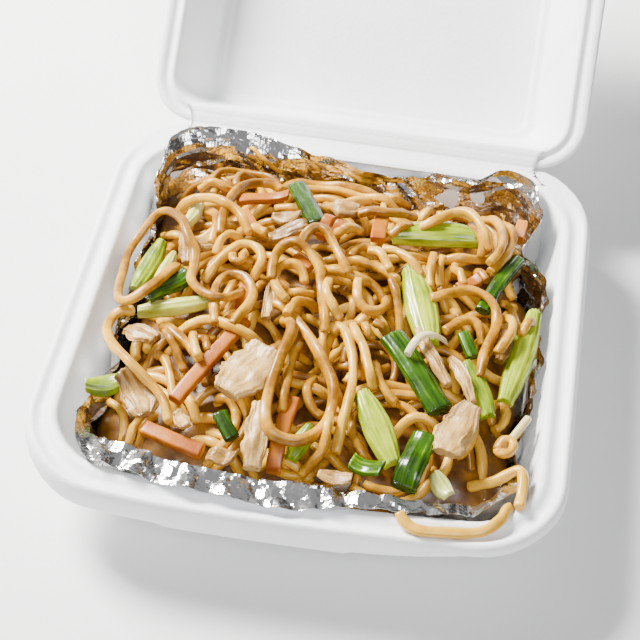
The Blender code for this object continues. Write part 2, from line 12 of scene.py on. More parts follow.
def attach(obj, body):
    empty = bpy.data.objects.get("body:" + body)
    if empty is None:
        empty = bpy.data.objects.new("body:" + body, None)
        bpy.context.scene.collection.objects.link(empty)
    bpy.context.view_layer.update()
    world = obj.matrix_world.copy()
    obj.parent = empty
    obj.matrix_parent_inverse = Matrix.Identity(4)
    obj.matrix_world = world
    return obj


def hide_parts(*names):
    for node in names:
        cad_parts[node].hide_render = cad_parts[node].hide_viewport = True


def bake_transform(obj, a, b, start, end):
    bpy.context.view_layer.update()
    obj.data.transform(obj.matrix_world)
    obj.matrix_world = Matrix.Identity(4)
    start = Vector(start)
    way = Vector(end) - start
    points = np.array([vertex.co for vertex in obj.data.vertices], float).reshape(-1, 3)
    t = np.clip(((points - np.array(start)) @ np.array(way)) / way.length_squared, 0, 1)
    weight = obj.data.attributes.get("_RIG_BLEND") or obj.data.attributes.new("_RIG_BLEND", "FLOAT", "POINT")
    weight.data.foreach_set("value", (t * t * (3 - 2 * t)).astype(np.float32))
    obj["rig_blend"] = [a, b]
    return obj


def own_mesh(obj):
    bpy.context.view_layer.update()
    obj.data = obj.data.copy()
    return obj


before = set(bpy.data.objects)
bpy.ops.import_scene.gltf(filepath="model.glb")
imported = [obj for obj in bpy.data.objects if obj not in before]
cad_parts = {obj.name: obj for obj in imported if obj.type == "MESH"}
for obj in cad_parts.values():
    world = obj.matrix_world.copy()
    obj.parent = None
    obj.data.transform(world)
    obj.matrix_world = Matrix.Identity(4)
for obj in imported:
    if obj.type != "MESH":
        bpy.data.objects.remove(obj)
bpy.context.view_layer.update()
mm = 0.001
print("frame loaded")

# The photograph's camera: lengths in mm, angles in degrees, and the frame it fills in pixels
photoView = {
    "framePixels": 640, "focalPixels": 1512.2, "sensor": 36.0, "target": (-0.7, 0.0, 45.0),
    "elevation": 50.35, "azimuth": 8.41, "roll": 1.92, "distance": 684.9, "pixelsPerMm": 2.2,
}


def viewAxes():
    # The camera's right, up and back directions, and where it stands
    up, turn, roll = (math.radians(photoView[key]) for key in ("elevation", "azimuth", "roll"))
    back = Vector((math.sin(turn) * math.cos(up), -math.cos(turn) * math.cos(up), math.sin(up)))
    level = (-back).cross(Vector((0, 0, 1))).normalized()
    upright = level.cross(-back)
    right = level * math.cos(roll) + upright * math.sin(roll)
    top = upright * math.cos(roll) - level * math.sin(roll)
    return right, top, back, Vector(photoView["target"]) + back * photoView["distance"]


viewRight, viewTop, viewBack, viewPlace = viewAxes()


def pixelToPlan(pixels, heights):
    # Where the photograph's pixels meet level planes at the given heights, in mm
    half = photoView["framePixels"] / 2
    across = (pixels[:, 0] - half) / photoView["focalPixels"]
    down = (pixels[:, 1] - half) / photoView["focalPixels"]
    rays = -np.array(viewBack) + np.outer(across, viewRight) - np.outer(down, viewTop)
    reach = (heights - viewPlace.z) / rays[:, 2]
    return np.array(viewPlace)[:2] + rays[:, :2] * reach[:, None]


def makeCamera():
    camera = bpy.data.cameras.new("photoCamera")
    camera.sensor_width = photoView["sensor"]
    camera.lens = photoView["focalPixels"] / photoView["framePixels"] * photoView["sensor"]
    camera.clip_start = 0.01
    holder = bpy.data.objects.new("photoCamera", camera)
    axes = Matrix((viewRight, viewTop, viewBack)).transposed().to_4x4()
    holder.matrix_world = Matrix.Translation(viewPlace * mm) @ axes
    bpy.context.scene.collection.objects.link(holder)
    bpy.context.scene.camera = holder


studio = {
    "worldColour": "F1F2F5", "worldStrength": 0.42,
    "key": {"place": (-0.72, 0.42, 0.84), "size": 0.4, "power": 78.0, "colour": "FFFDF9"},
    "fill": {"place": (0.3, -0.75, 0.95), "size": 0.5, "power": 10.0, "colour": "F8F9FF"},
    "aim": (0, 0.03, 0.04), "floorColour": "EDEDEC", "floorHalf": 3.0, "feltColour": "202021",
    "flags": (((0.95, 0.1, 0.55), (0.05, 2.2, 0.9)), ((0.1, -1.35, 0.6), (1.5, 0.05, 0.7)),
              ((0.1, 1.35, 0.75), (1.3, 0.05, 0.5))),
}


def colour(hexText):
    # An sRGB hex value as linear colour
    parts = [int(hexText[index:index + 2], 16) / 255 for index in (0, 2, 4)]
    return [*(part / 12.92 if part <= 0.04045 else ((part + 0.055) / 1.055) ** 2.4
              for part in parts), 1.0]


def addNode(tree, kind, settings=None, links=None, ramp=None):
    # One shader node with its settings, its ramp's colours and the sockets that feed it
    node = tree.nodes.new(kind)
    for key, value in (settings or {}).items():
        if isinstance(key, int) or key in node.inputs:
            node.inputs[key].default_value = value
        else:
            setattr(node, key, value)
    for key, source in (links or {}).items():
        tree.links.new(source, node.inputs[key])
    if ramp:
        stops = node.color_ramp.elements
        while len(stops) < len(ramp):
            stops.new(0.5)
        for stop, (place, shade) in zip(stops, ramp):
            stop.position = place
            stop.color = colour(shade)
    return node


def newMaterial(name, settings):
    # A material with its node tree and its shader, whose own sockets take the settings
    material = bpy.data.materials.new(name)
    material.use_nodes = True
    tree = material.node_tree
    shader = tree.nodes["Principled BSDF"]
    for key, value in settings.items():
        shader.inputs[key].default_value = value
    return material, tree, shader


def lightStudio():
    world = bpy.data.worlds.new("paleRoom")
    bpy.context.scene.world = world
    world.use_nodes = True
    backdrop = world.node_tree.nodes["Background"]
    backdrop.inputs["Color"].default_value = colour(studio["worldColour"])
    backdrop.inputs["Strength"].default_value = studio["worldStrength"]
    for name in ("key", "fill"):
        spec = studio[name]
        lamp = bpy.data.lights.new(name, "AREA")
        lamp.size = spec["size"]
        lamp.energy = spec["power"]
        lamp.color = colour(spec["colour"])[:3]
        holder = bpy.data.objects.new(name, lamp)
        holder.location = spec["place"]
        aim = Vector(studio["aim"]) - holder.location
        holder.rotation_euler = aim.to_track_quat("-Z", "Y").to_euler()
        bpy.context.scene.collection.objects.link(holder)
    bm = bmesh.new()
    bmesh.ops.create_grid(bm, x_segments=1, y_segments=1, size=studio["floorHalf"])
    mesh = bpy.data.meshes.new("floor")
    bm.to_mesh(mesh)
    bm.free()
    # Uncoated paper roll: pale and matt, with no shine of its own
    mesh.materials.append(newMaterial("mattPaper", {
        "Base Color": colour(studio["floorColour"]), "Roughness": 0.85})[0])
    floor = bpy.data.objects.new("floor", mesh)
    bpy.context.scene.collection.objects.link(floor)
    # Black felt boards out of sight: bright foil needs something dark to mirror
    felt = newMaterial("blackFelt", {
        "Base Color": colour(studio["feltColour"]), "Roughness": 0.95})[0]
    for place, size in studio["flags"]:
        bm = bmesh.new()
        bmesh.ops.create_cube(bm, size=1.0)
        bmesh.ops.scale(bm, verts=bm.verts, vec=size)
        bmesh.ops.translate(bm, verts=bm.verts, vec=place)
        mesh = bpy.data.meshes.new("flag")
        bm.to_mesh(mesh)
        bm.free()
        mesh.materials.append(felt)
        flag = bpy.data.objects.new("flag", mesh)
        bpy.context.scene.collection.objects.link(flag)


makeCamera()
lightStudio()
print("camera and lights placed")


def clamp(value, low=0.0, high=1.0):
    # A value kept between two others
    return min(max(value, low), high)


def ease(value):
    # From 0 to 1 with a soft start and a soft end
    value = clamp(value)
    return value * value * (3 - 2 * value)


def newShape():
    # A bmesh with the layers that every piece carries
    bm = bmesh.new()
    bm.loops.layers.uv.new("UVMap")
    bm.verts.layers.float.new("tone")
    return bm


def addSheet(bm, columns, rows, place, scale=(1.0, 1.0), tone=0.5, weld=True):
    # A grid whose points are sent to place(column, row) in mm, its open seam welded
    made = bmesh.ops.create_grid(bm, x_segments=columns, y_segments=rows, size=0.5, calc_uvs=True)
    toneLayer = bm.verts.layers.float["tone"]
    uvLayer = bm.loops.layers.uv["UVMap"]
    faces = set()
    for vert in made["verts"]:
        faces.update(vert.link_faces)
        column = round((vert.co.x + 0.5) * columns)
        row = round((vert.co.y + 0.5) * rows)
        vert.co = Vector(place(column, row)) * mm
        vert[toneLayer] = tone
    for face in faces:
        face.smooth = True
        for loop in face.loops:
            loop[uvLayer].uv.x *= scale[0]
            loop[uvLayer].uv.y *= scale[1]
    if weld:
        bmesh.ops.remove_doubles(bm, verts=made["verts"], dist=0.002 * mm)


def addPiece(name, bm, material, body, nodes=(), closed=True):
    # A finished piece: it rides on a body, takes a slot's finish and stands for CAD nodes
    if closed:
        bmesh.ops.recalc_face_normals(bm, faces=bm.faces)
    mesh = bpy.data.meshes.new(name)
    bm.to_mesh(mesh)
    bm.free()
    mesh.materials.append(material)
    piece = bpy.data.objects.new(name, mesh)
    bpy.context.scene.collection.objects.link(piece)
    if body:
        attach(piece, body)
    if nodes:
        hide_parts(*nodes)
    return piece


# The foam tray, in mm
tray = {
    "halfWidth": 117.5, "front": -104.1, "back": 122.7, "frontRadius": 36.0, "backRadius": 45.0,
    "bow": 7.5, "bowPeak": -35.0, "cornerTightening": 0.8, "smallestCorner": 7.0,
    "rim": 44.7, "lip": 39.5, "shelf": 43.4, "floor": 2.8, "wallTop": 14.0, "wallFoot": 26.0,
    "skirtDrop": 7.0, "skirtMiddle": -30.0, "skirtReach": 105.0, "hingeY": 116.6, "hingeZ": 45.0,
    "corner": 10, "sides": (44, 40, 44, 64), "tab": (-50.0, 32.0), "tabRise": 0.9,
    "tabCrease": 3.0, "plainBack": 82.0, "plainRun": 16.0,
}


def outline(halfWidth, front, back, frontRadius, backRadius, bow):
    # Rounded rectangle from its right front corner round to its front, which is bowed
    corners = (
        (halfWidth - frontRadius, front + frontRadius, frontRadius, -90),
        (halfWidth - backRadius, back - backRadius, backRadius, 0),
        (backRadius - halfWidth, back - backRadius, backRadius, 90),
        (frontRadius - halfWidth, front + frontRadius, frontRadius, 180),
    )
    arcs = []
    for x, y, radius, start in corners:
        turns = [math.radians(start + 90 * step / tray["corner"])
                 for step in range(tray["corner"] + 1)]
        arcs.append([(x + radius * math.cos(turn), y + radius * math.sin(turn)) for turn in turns])
    points = []
    for index, arc in enumerate(arcs):
        points.extend(arc)
        start, end = Vector(arc[-1]), Vector(arcs[(index + 1) % 4][0])
        count = tray["sides"][index] + 1
        points.extend(tuple(start.lerp(end, step / count)) for step in range(1, count))
    bowed = []
    for x, y in points:
        peak = tray["bowPeak"]
        reach = halfWidth + peak if x < peak else halfWidth - peak
        push = bow * (1 - ((x - peak) / reach) ** 2) * clamp(y / front) ** 4
        bowed.append((x, y - push))
    return bowed


def trayOutline(inset):
    # The tray's plan outline, set in from its lip
    corner = tray["cornerTightening"] * inset
    return outline(
        tray["halfWidth"] - inset, tray["front"] + inset, tray["back"] - inset,
        max(tray["frontRadius"] - corner, tray["smallestCorner"]),
        max(tray["backRadius"] - corner, tray["smallestCorner"]),
        tray["bow"] * (1 - inset / tray["halfWidth"]))


def skirtShare(x, y):
    # How much of the front skirt's drop a point takes
    reach = (x - tray["skirtMiddle"]) / tray["skirtReach"]
    return clamp((-y - 55) / 45) * clamp(1.1 - reach ** 4)


def tabShare(x):
    # The plain zone in the middle of the front skirt, between two short pressed creases
    low, high = tray["tab"]
    return ease((x - low) / tray["tabCrease"]) * ease((high - x) / tray["tabCrease"])


def addLoft(bm, rings):
    # A closed shell through rings of points, its first and last ring filled
    count = len(rings[0])
    addSheet(bm, count, len(rings) - 1, lambda column, row: rings[row][column % count])
    edges = [edge for edge in bm.edges if edge.is_boundary]
    bmesh.ops.holes_fill(bm, edges=edges, sides=0)


def buildTray(material):
    # Inset, height and share of the skirt's drop, from the base round the rim to the floor
    slope = (tray["wallFoot"] - tray["wallTop"]) / (tray["shelf"] - tray["floor"] - 4)
    wallTop = tray["wallTop"] - 2.6 + 4.5 * slope
    foot, rim, lip = tray["wallFoot"], tray["rim"], tray["lip"]
    rows = (
        (foot + 12.0, 0.0, 0), (foot + 4.0, 0.0, 0), (foot + 1.6, 0.15, 0), (foot + 0.2, 0.9, 0),
        (foot - 1.5, 3.6, 0), (foot - 3.0, 8.0, 0), (wallTop + 2, rim - 13.0, 0),
        (wallTop, rim - 6.0, 0), (wallTop - 0.6, rim - 4.6, 0), (wallTop - 2.6, rim - 3.7, 0.05),
        (6.0, rim - 3.7, 0.3), (4.0, rim - 3.9, 0.6), (3.0, lip + 0.6, 0.95), (2.6, lip + 0.1, 1.0),
        (0.7, lip + 0.0, 1.0), (0.1, lip + 0.5, 0.98), (0.0, lip + 1.6, 0.9),
        (0.9, rim - 1.6, 0.35), (1.6, rim - 0.6, 0.12), (2.6, rim - 0.05, 0.02), (3.3, rim, 0),
        (4.4, rim - 0.5, 0), (5.4, rim - 1.4, 0), (6.6, rim - 1.8, 0), (7.8, rim - 1.7, 0),
        (9.0, rim - 1.1, 0), (10.2, rim - 0.2, 0), (11.2, rim, 0), (12.4, rim - 0.1, 0),
        (13.4, rim - 0.7, 0), (14.2, rim - 2.2, 0), (14.9, rim - 4.2, 0),
        (foot - 6.0, tray["floor"] + 22.0, 0), (foot - 0.4, tray["floor"] + 5.6, 0),
        (foot + 0.6, tray["floor"] + 2.6, 0), (foot + 2.4, tray["floor"] + 0.9, 0),
        (foot + 6.0, tray["floor"], 0), (foot + 20.0, tray["floor"], 0),
    )
    rings = []
    for inset, height, drop in rows:
        ring = []
        limit = tray["hingeY"] - 0.2 - 0.35 * inset
        for x, y in trayOutline(inset):
            level = height - tray["skirtDrop"] * drop * skirtShare(x, y)
            if drop > 0.5 and y < tray["front"] + 6:
                y -= tray["tabRise"] * tabShare(x)
            if height > tray["shelf"] - 1 and inset < tray["wallTop"]:
                ridges = 1 - clamp((y - tray["plainBack"]) / tray["plainRun"])
                level = tray["shelf"] + (level - tray["shelf"]) * ridges
            ring.append((x, min(y, limit), level))
        rings.append(ring)
    bm = newShape()
    addLoft(bm, rings)
    addPiece("foamTray", bm, material, "tray", ["tray"])


# The lid, drawn shut in its own millimetres from the hinge, then opened by its angle
lid = {
    "halfWidth": 110.0, "length": 213.7, "bow": 7.0, "frontRadius": 34.0, "backRadius": 24.0,
    "depth": 26.0, "foam": 2.6, "openAngle": 36.0,
    "crease": (70.0, 50.0), "trapezoid": (20.0, 36.0), "press": 1.0, "pressRun": 2.5,
    "shutRim": 45.6, "shutInset": 18.5, "shutSlope": 1.7, "shutTop": 68.0,
}


def lidToFrame(point):
    # From the shut lid's own millimetres to its open place
    turn = Matrix.Rotation(math.radians(lid["openAngle"] - 180), 3, "X")
    return turn @ Vector(point) + Vector((0, tray["hingeY"], tray["hingeZ"]))


def pressLid(x, y, height):
    # Slanted creases in the lid's side walls and a trapezoid in the wall beside the hinge
    share = clamp((-height - 2.2) / (lid["depth"] - 4.8))
    if y > -22:
        half = lid["trapezoid"][0] + (lid["trapezoid"][1] - lid["trapezoid"][0]) * share
        return x, y - lid["press"] * ease((half - abs(x)) / lid["pressRun"])
    start, end = lid["crease"]
    past = ease((-y - start - (end - start) * share) / lid["pressRun"])
    side = clamp((abs(x) - 70) / 10) * math.copysign(1, x)
    return x - side * lid["press"] * past * clamp((190 + y) / 30), y


def buildLid(material):
    deep, foam = lid["depth"], lid["foam"]
    # Inset at the sides and at the hinge, and height over the rim plane, outside to inside
    rows = (
        (45.0, 33.0, -deep - foam), (33.0, 21.5, -deep - foam), (25.5, 17.0, -deep - foam),
        (23.6, 15.6, -deep - foam + 0.6), (21.8, 14.4, -deep - foam + 2.2),
        (9.2, 7.0, -foam - 2.6), (8.0, 6.2, -foam - 1.2), (6.4, 5.0, -foam - 0.6),
        (0.9, 0.9, -foam - 0.6), (0.1, 0.1, -foam - 0.2), (0.0, 0.0, -foam + 0.4),
        (0.4, 0.4, -0.8), (1.0, 0.9, -0.35), (2.4, 2.0, -0.25), (4.0, 3.2, -0.35),
        (5.0, 3.9, -1.1), (6.0, 4.7, -1.5), (7.4, 5.8, -1.4), (8.4, 6.8, -0.5),
        (9.4, 7.7, -0.4), (10.4, 8.5, -0.9), (11.4, 9.2, -2.2), (13.0, 10.1, -5.2),
        (14.8, 11.1, -8.4), (16.6, 12.1, -11.6), (18.4, 13.1, -14.8), (20.2, 14.1, -18.0),
        (22.0, 15.2, -21.0), (23.8, 16.3, -deep + 2.6), (25.0, 17.0, -deep + 0.7),
        (26.4, 18.0, -deep), (28.6, 20.0, -deep), (29.4, 20.8, -deep - 0.2),
        (30.4, 21.8, -deep - 1.3), (31.4, 22.8, -deep - 1.5), (48.0, 35.0, -deep - 1.4),
    )
    rings = []
    for inset, backInset, height in rows:
        ring = outline(
            lid["halfWidth"] - inset, -lid["length"] + inset, -0.2 - backInset,
            max(lid["frontRadius"] - inset, 9.0), max(lid["backRadius"] - backInset, 8.0),
            lid["bow"] * (1 - inset / lid["halfWidth"]))
        ring = [pressLid(x, y, height) for x, y in ring] if 11.0 < inset < 24.0 else ring
        rings.append([lidToFrame((x, y, -height)) for x, y in ring])
    bm = newShape()
    addLoft(bm, rings)
    addPiece("foamLid", bm, material, "lid", ["lid"])


hinge = {
    "halfLength": 87.0, "columns": 88, "thickness": 0.7, "lines": 4, "lineDepth": 0.3,
    "trayFlare": 9.0, "lidFlare": 4.0, "steps": 36,
    "path": ((105.5, 42.8), (107.5, 43.8), (110.5, 44.1), (113.4, 44.3), (115.6, 44.7),
             (117.2, 45.8), (119.0, 47.2), (121.2, 48.7), (123.0, 49.7), (124.2, 50.0)),
}


def buildHinge(material):
    # The flexible strip that joins the tray's shelf to the lid's rim, with its pressed lines
    path, steps = hinge["path"], hinge["steps"]
    top = [Vector((0, *path[0]))]
    for index in range(1, steps + 1):
        place = index / steps * (len(path) - 1)
        base = min(int(place), len(path) - 2)
        top.append(Vector((0, *path[base])).lerp(Vector((0, *path[base + 1])), place - base))

    def place(column, row):
        under = row > steps
        index = 2 * steps + 1 - row if under else row
        spot = top[clamp(index, 0, steps)]
        share = index / steps
        flare = hinge["trayFlare"] * clamp(1 - 2.2 * share) ** 2
        flare += hinge["lidFlare"] * clamp(2 * share - 1) ** 1.6
        x = (hinge["halfLength"] + flare) * (2 * column / hinge["columns"] - 1)
        press = hinge["lineDepth"] * max(0.0, math.cos(share * math.pi * 2 * hinge["lines"])) ** 3
        drop = hinge["thickness"] if under else press * (1 - abs(2 * share - 1))
        return x, spot.y + 0.5 * drop, spot.z - 0.85 * drop

    bm = newShape()
    addSheet(bm, hinge["columns"], 2 * steps + 1, place)
    bmesh.ops.holes_fill(bm, edges=[edge for edge in bm.edges if edge.is_boundary], sides=0)
    strip = addPiece("foamHinge", bm, material, None)
    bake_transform(strip, "tray", "lid", start=(0, 0.1146, 0.0443), end=(0, 0.1192, 0.0465))


def expandedFoam():
    # Expanded polystyrene sheet, vacuum formed: matt white skin with a fine pebbled grain
    material, tree, shader = newMaterial("expandedFoam", {"Roughness": 0.55, "IOR": 1.45})
    place = addNode(tree, "ShaderNodeTexCoord").outputs["Object"]
    cloud = addNode(tree, "ShaderNodeTexNoise", {"Scale": 18.0, "Detail": 3.0}, {"Vector": place})
    tint = addNode(tree, "ShaderNodeValToRGB", None, {"Fac": cloud.outputs["Fac"]},
                   [(0.35, "EDEFF0"), (0.65, "F6F7F7")])
    tree.links.new(tint.outputs["Color"], shader.inputs["Base Color"])
    grain = addNode(tree, "ShaderNodeTexVoronoi", {"Scale": 640.0, "feature": "SMOOTH_F1"},
                    {"Vector": place})  # cells of about 1.5 mm
    dimple = addNode(tree, "ShaderNodeTexNoise", {"Scale": 260.0, "Detail": 2.0}, {"Vector": place})
    height = addNode(tree, "ShaderNodeMath", {"operation": "ADD"},
                     {0: grain.outputs["Distance"], 1: dimple.outputs["Fac"]})
    bump = addNode(tree, "ShaderNodeBump", {"Strength": 0.35, "Distance": 0.0003},
                   {"Height": height.outputs[0]})
    tree.links.new(bump.outputs["Normal"], shader.inputs["Normal"])
    return material


foamSkin = expandedFoam()
buildTray(foamSkin)
buildLid(foamSkin)
buildHinge(foamSkin)
print("foam box made")


# The foil's torn edge: direction from the middle in degrees (0 is right, 90 is the hinge), the
# inset and height of its crest, and the inset and height of its hem
foil = {
    "edge": (
        (0, 20, 39, 18, 42), (22, 21, 40, 18, 45), (32, 30, 39, 30, 44), (42, 22, 42, 19, 48),
        (50, 18, 43, 13, 49), (64, 19, 41, 18, 45), (80, 19, 37, 20, 40), (100, 19, 42, 17, 46),
        (118, 18, 43, 12, 49), (132, 18, 44, 13, 50), (142, 22, 41, 22, 46), (160, 27, 38, 27, 42),
        (180, 27, 34, 27, 38), (206, 29, 36, 29, 40), (218, 24, 42, 21, 46), (230, 24, 46, 12, 47),
        (250, 20, 46.5, 9, 46.3), (270, 19, 46.5, 7, 46.0), (288, 19, 46, 11, 46.2),
        (304, 19, 45, 13, 46.3), (318, 21, 44, 17, 46.8), (330, 23, 40, 22, 44),
        (345, 22, 38, 21, 41),
    ),
    "around": 640, "down": 60, "splitRow": 27, "facet": 10.5, "facetLift": 3.4,
    "wrinkle": 4.6, "wrinkleLift": 0.8, "thickness": 0.08, "clear": 0.6, "crispAngle": 0.11,
    "flatLift": 0.75, "flatRise": 1.0, "perimeter": 790.0, "tear": 11.0, "tearLift": 1.8,
}


def foilEdge(angle):
    # Crest and hem of the foil in one direction, in degrees
    rows = foil["edge"] + ((foil["edge"][0][0] + 360, *foil["edge"][0][1:]),)
    for first, second in zip(rows, rows[1:]):
        if first[0] <= angle % 360 <= second[0]:
            share = ease((angle % 360 - first[0]) / (second[0] - first[0]))
            return [low + (high - low) * share for low, high in zip(first[1:], second[1:])]


def wallInset(height):
    # How far in the tray's inner wall stands at a height
    top = tray["rim"] - 3.4
    slope = (tray["wallFoot"] - tray["wallTop"] - 0.6) / (top - tray["floor"] - 4.4)
    return tray["wallTop"] + 0.6 + slope * (top - height)


def hashUnit(*keys):
    # A repeatable value from -1 to 1 for whole-number keys
    value = 0
    for key in keys:
        value = (value * 1103515245 + int(key) * 2654435761 + 12345) % 4294967296
        value ^= value >> 13
    return (value * 1274126177 % 4294967296) / 2147483648.0 - 1.0


def creased(s, t, size, seed, wrap):
    # Random heights on a lattice of triangles, straight between its corners, as in crushed foil
    s, t = s / size, t / size
    t += 0.33 * math.sin(s * 0.9 + seed) + 0.2 * math.sin(s * 2.3)
    row = math.floor(t)
    column = math.floor(s - row * 0.5)
    u, v = s - row * 0.5 - column, t - row

    def corner(dx, dy):
        around = (column + dx + 0.5 * (row + dy)) % wrap
        return hashUnit(round(around * 2), row + dy, seed)

    if u + v < 1:
        return corner(0, 0) * (1 - u - v) + corner(1, 0) * u + corner(0, 1) * v
    return corner(1, 1) * (u + v - 1) + corner(0, 1) * (1 - u) + corner(1, 0) * (1 - v)


def outlineAt(inset, share):
    # Point at a share of the way round an outline, keeping to the same spokes at every inset
    ring = outlineCache.setdefault(round(inset, 2), trayOutline(round(inset, 2)))
    place = share * len(ring)
    base = int(place) % len(ring)
    return Vector(ring[base]).lerp(Vector(ring[(base + 1) % len(ring)]), place - int(place))


outlineCache = {}


def foilSpine(share):
    # The liner's section in one direction: plan points and heights from the hem to the floor
    x, y = outlineAt(tray["wallTop"], share)
    angle = math.degrees(math.atan2(y, x))
    crestInset, crest, hemInset, hem = foilEdge(angle)
    low = tray["floor"]
    knots = [(hemInset, hem), (crestInset, crest)]
    for height, part in ((low + 26, 0.75), (low + 16, 0.4)):
        lean = wallInset(height) + max(crestInset - wallInset(height), 0) * part + foil["clear"]
        knots.append((lean, min(height, crest - 6)))
    knots.append((tray["wallFoot"] + 3, low + 1.5))
    return knots


def buildFoil(material):
    # The liner: spines from hem to floor, lifted into facets and finer wrinkles
    around, down = foil["around"], foil["down"]
    perimeter = foil["perimeter"]
    spots = []
    for column in range(around):
        share = column / around
        knots = foilSpine(share)
        lengths = [0.0]
        for first, second in zip(knots, knots[1:]):
            lengths.append(lengths[-1] + math.dist(first, second))
        line = []
        for row in range(down + 1):
            run = lengths[-1] * (row / down) ** 1.35
            index = max(i for i in range(len(knots) - 1) if lengths[i] <= run + 1e-9)
            part = (run - lengths[index]) / (lengths[index + 1] - lengths[index])
            inset = knots[index][0] + (knots[index + 1][0] - knots[index][0]) * part
            height = knots[index][1] + (knots[index + 1][1] - knots[index][1]) * part
            s = share * perimeter
            lift = foil["facetLift"] * creased(s, run, foil["facet"], 3, perimeter / foil["facet"])
            lift += foil["wrinkleLift"] * creased(
                s + 3, run, foil["wrinkle"], 8, perimeter / foil["wrinkle"])
            tear = creased(s, 0, foil["tear"], 5, perimeter / foil["tear"])
            tear = foil["tearLift"] * tear * (1 - row / down) ** 3
            flat = clamp((knots[1][0] - knots[0][0] - 3) / 6) if index == 0 else 0.0
            x, y = outlineAt(max(inset + lift * (1 - flat) + 0.6, 1.0), share)
            rise = (lift * foil["flatLift"] + foil["flatRise"]) * flat
            line.append((x, y, height + rise + tear * (1 - flat)))
        spots.append(line)
    # The rim and the lining below it are made as two pieces, and the rim gets a mesh of its own
    split = foil["splitRow"]
    for name, first, last in (("foilRim", 0, split), ("foilLining", split, down)):
        bm = newShape()
        addSheet(bm, around, last - first,
                 lambda column, row: spots[column % around][first + row],
                 (perimeter / 10, 6.0 * (last - first) / down))
        bmesh.ops.recalc_face_normals(bm, faces=bm.faces)
        for edge in bm.edges:
            edge.smooth = not edge.is_boundary and edge.calc_face_angle(0) < foil["crispAngle"]
        piece = addPiece(name, bm, material, "tray", ["foil"], closed=False)
        skin = piece.modifiers.new("skin", "SOLIDIFY")
        skin.thickness = foil["thickness"] * mm
        skin.offset = 0.0
        if name == "foilRim":
            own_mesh(piece)


def rolledFoil():
    # Aluminium kitchen foil, cold rolled: mirror-like facets, dulled a little by handling
    material, tree, shader = newMaterial("rolledFoil", {
        "Base Color": colour("DCDBD9"), "Metallic": 1.0, "Roughness": 0.17})
    place = addNode(tree, "ShaderNodeTexCoord").outputs["Object"]
    warp = addNode(tree, "ShaderNodeTexNoise", {"Scale": 90.0, "Detail": 2.0}, {"Vector": place})
    mixed = addNode(tree, "ShaderNodeMix", {"data_type": "VECTOR", "Factor": 0.015},
                    {"A": place, "B": warp.outputs["Color"]})
    wrinkle = addNode(tree, "ShaderNodeTexVoronoi",
                      {"Scale": 260.0, "feature": "DISTANCE_TO_EDGE"},
                      {"Vector": mixed.outputs["Result"]})  # creases about 4 mm apart
    dots = addNode(tree, "ShaderNodeTexVoronoi", {"Scale": 620.0, "Randomness": 0.25},
                   {"Vector": place})  # embossed dots about 1.6 mm apart
    total = addNode(tree, "ShaderNodeMath", {"operation": "MULTIPLY_ADD", 1: 0.35},
                    {0: dots.outputs["Distance"], 2: wrinkle.outputs["Distance"]})
    bump = addNode(tree, "ShaderNodeBump", {"Strength": 0.35, "Distance": 0.0005},
                   {"Height": total.outputs[0]})
    tree.links.new(bump.outputs["Normal"], shader.inputs["Normal"])
    return material


buildFoil(rolledFoil())
print("foil liner made")


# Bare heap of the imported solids: its height over the plan, in mm
heap = {
    "edge": 38.0, "rise": 13.5, "radiusX": 98.0, "radiusY": 99.0, "bump": 0.9, "lean": 2.0,
    "sunk": 11.0, "grid": 64, "fall": 6.0, "fallFrom": 0.86, "grain": 1.2, "grainSize": 7,
    "coreFoot": 6, "edgeGap": 2.5,
}


def heapTop(x, y):
    across, along = abs(x) / heap["radiusX"], abs(y + 1) / heap["radiusY"]
    reach = min((across ** 4 + along ** 4) ** 0.25, 1.0)
    bumps = math.sin(x / 9.0) * math.cos(y / 11.0) + 0.6 * math.sin((x + y) / 15.0)
    lean = -heap["lean"] * clamp(y / heap["radiusY"])
    return heap["edge"] + heap["rise"] * (1 - reach ** 3) + lean + heap["bump"] * bumps


def foodEdge():
    # How far the food may reach in each direction, one value a degree
    reach = []
    for degree in range(360):
        inset = foilEdge(degree)[0] + heap["edgeGap"]
        ring = outlineCache.setdefault(round(inset), trayOutline(round(inset)))
        away = [abs((math.degrees(math.atan2(y, x)) - degree + 180) % 360 - 180) for x, y in ring]
        reach.append(math.hypot(*ring[away.index(min(away))]))
    return reach


foodReach = foodEdge()


def isInside(x, y, margin):
    degree = int(math.degrees(math.atan2(y, x))) % 360
    return math.hypot(x, y) < foodReach[degree] - margin


# Heights of what lies in the box so far, on a plan grid
class Pile:
    cell = 0.5
    lowX, lowY = -120.0, -125.0
    top = np.zeros((500, 480))

    @classmethod
    def index(cls, x, y):
        column = int(clamp((x - cls.lowX) / cls.cell, 8, cls.top.shape[1] - 9))
        return int(clamp((y - cls.lowY) / cls.cell, 8, cls.top.shape[0] - 9)), column


def fillPile(names):
    # Food that reaches over the edge lies on the box and its liner
    for name in names:
        shape = bpy.data.objects[name].data
        tree = BVHTree.FromPolygons([vert.co / mm for vert in shape.vertices],
                                    [face.vertices for face in shape.polygons])
        for row in range(0, Pile.top.shape[0], 2):
            for column in range(0, Pile.top.shape[1], 2):
                spot = Pile.lowX + column * Pile.cell, Pile.lowY + row * Pile.cell, 200
                hit = tree.ray_cast(Vector(spot), Vector((0, 0, -1)))[0]
                if hit:
                    block = slice(row, row + 2), slice(column, column + 2)
                    Pile.top[block] = np.maximum(Pile.top[block], hit.z)


fillPile(("foamTray", "foilRim", "foilLining"))


def brush(radius):
    # The grid cells under a ball, and its height over each
    reach = int(radius / Pile.cell)
    dy, dx = np.mgrid[-reach:reach + 1, -reach:reach + 1]
    away = (dx * dx + dy * dy) * Pile.cell ** 2
    keep = away < radius * radius
    return dy[keep], dx[keep], np.sqrt(radius * radius - away[keep])


def restOn(x, y, shape):
    # How high a ball's middle lies on the pile
    row, column = Pile.index(x, y)
    return float((Pile.top[row + shape[0], column + shape[1]] + shape[2]).max())


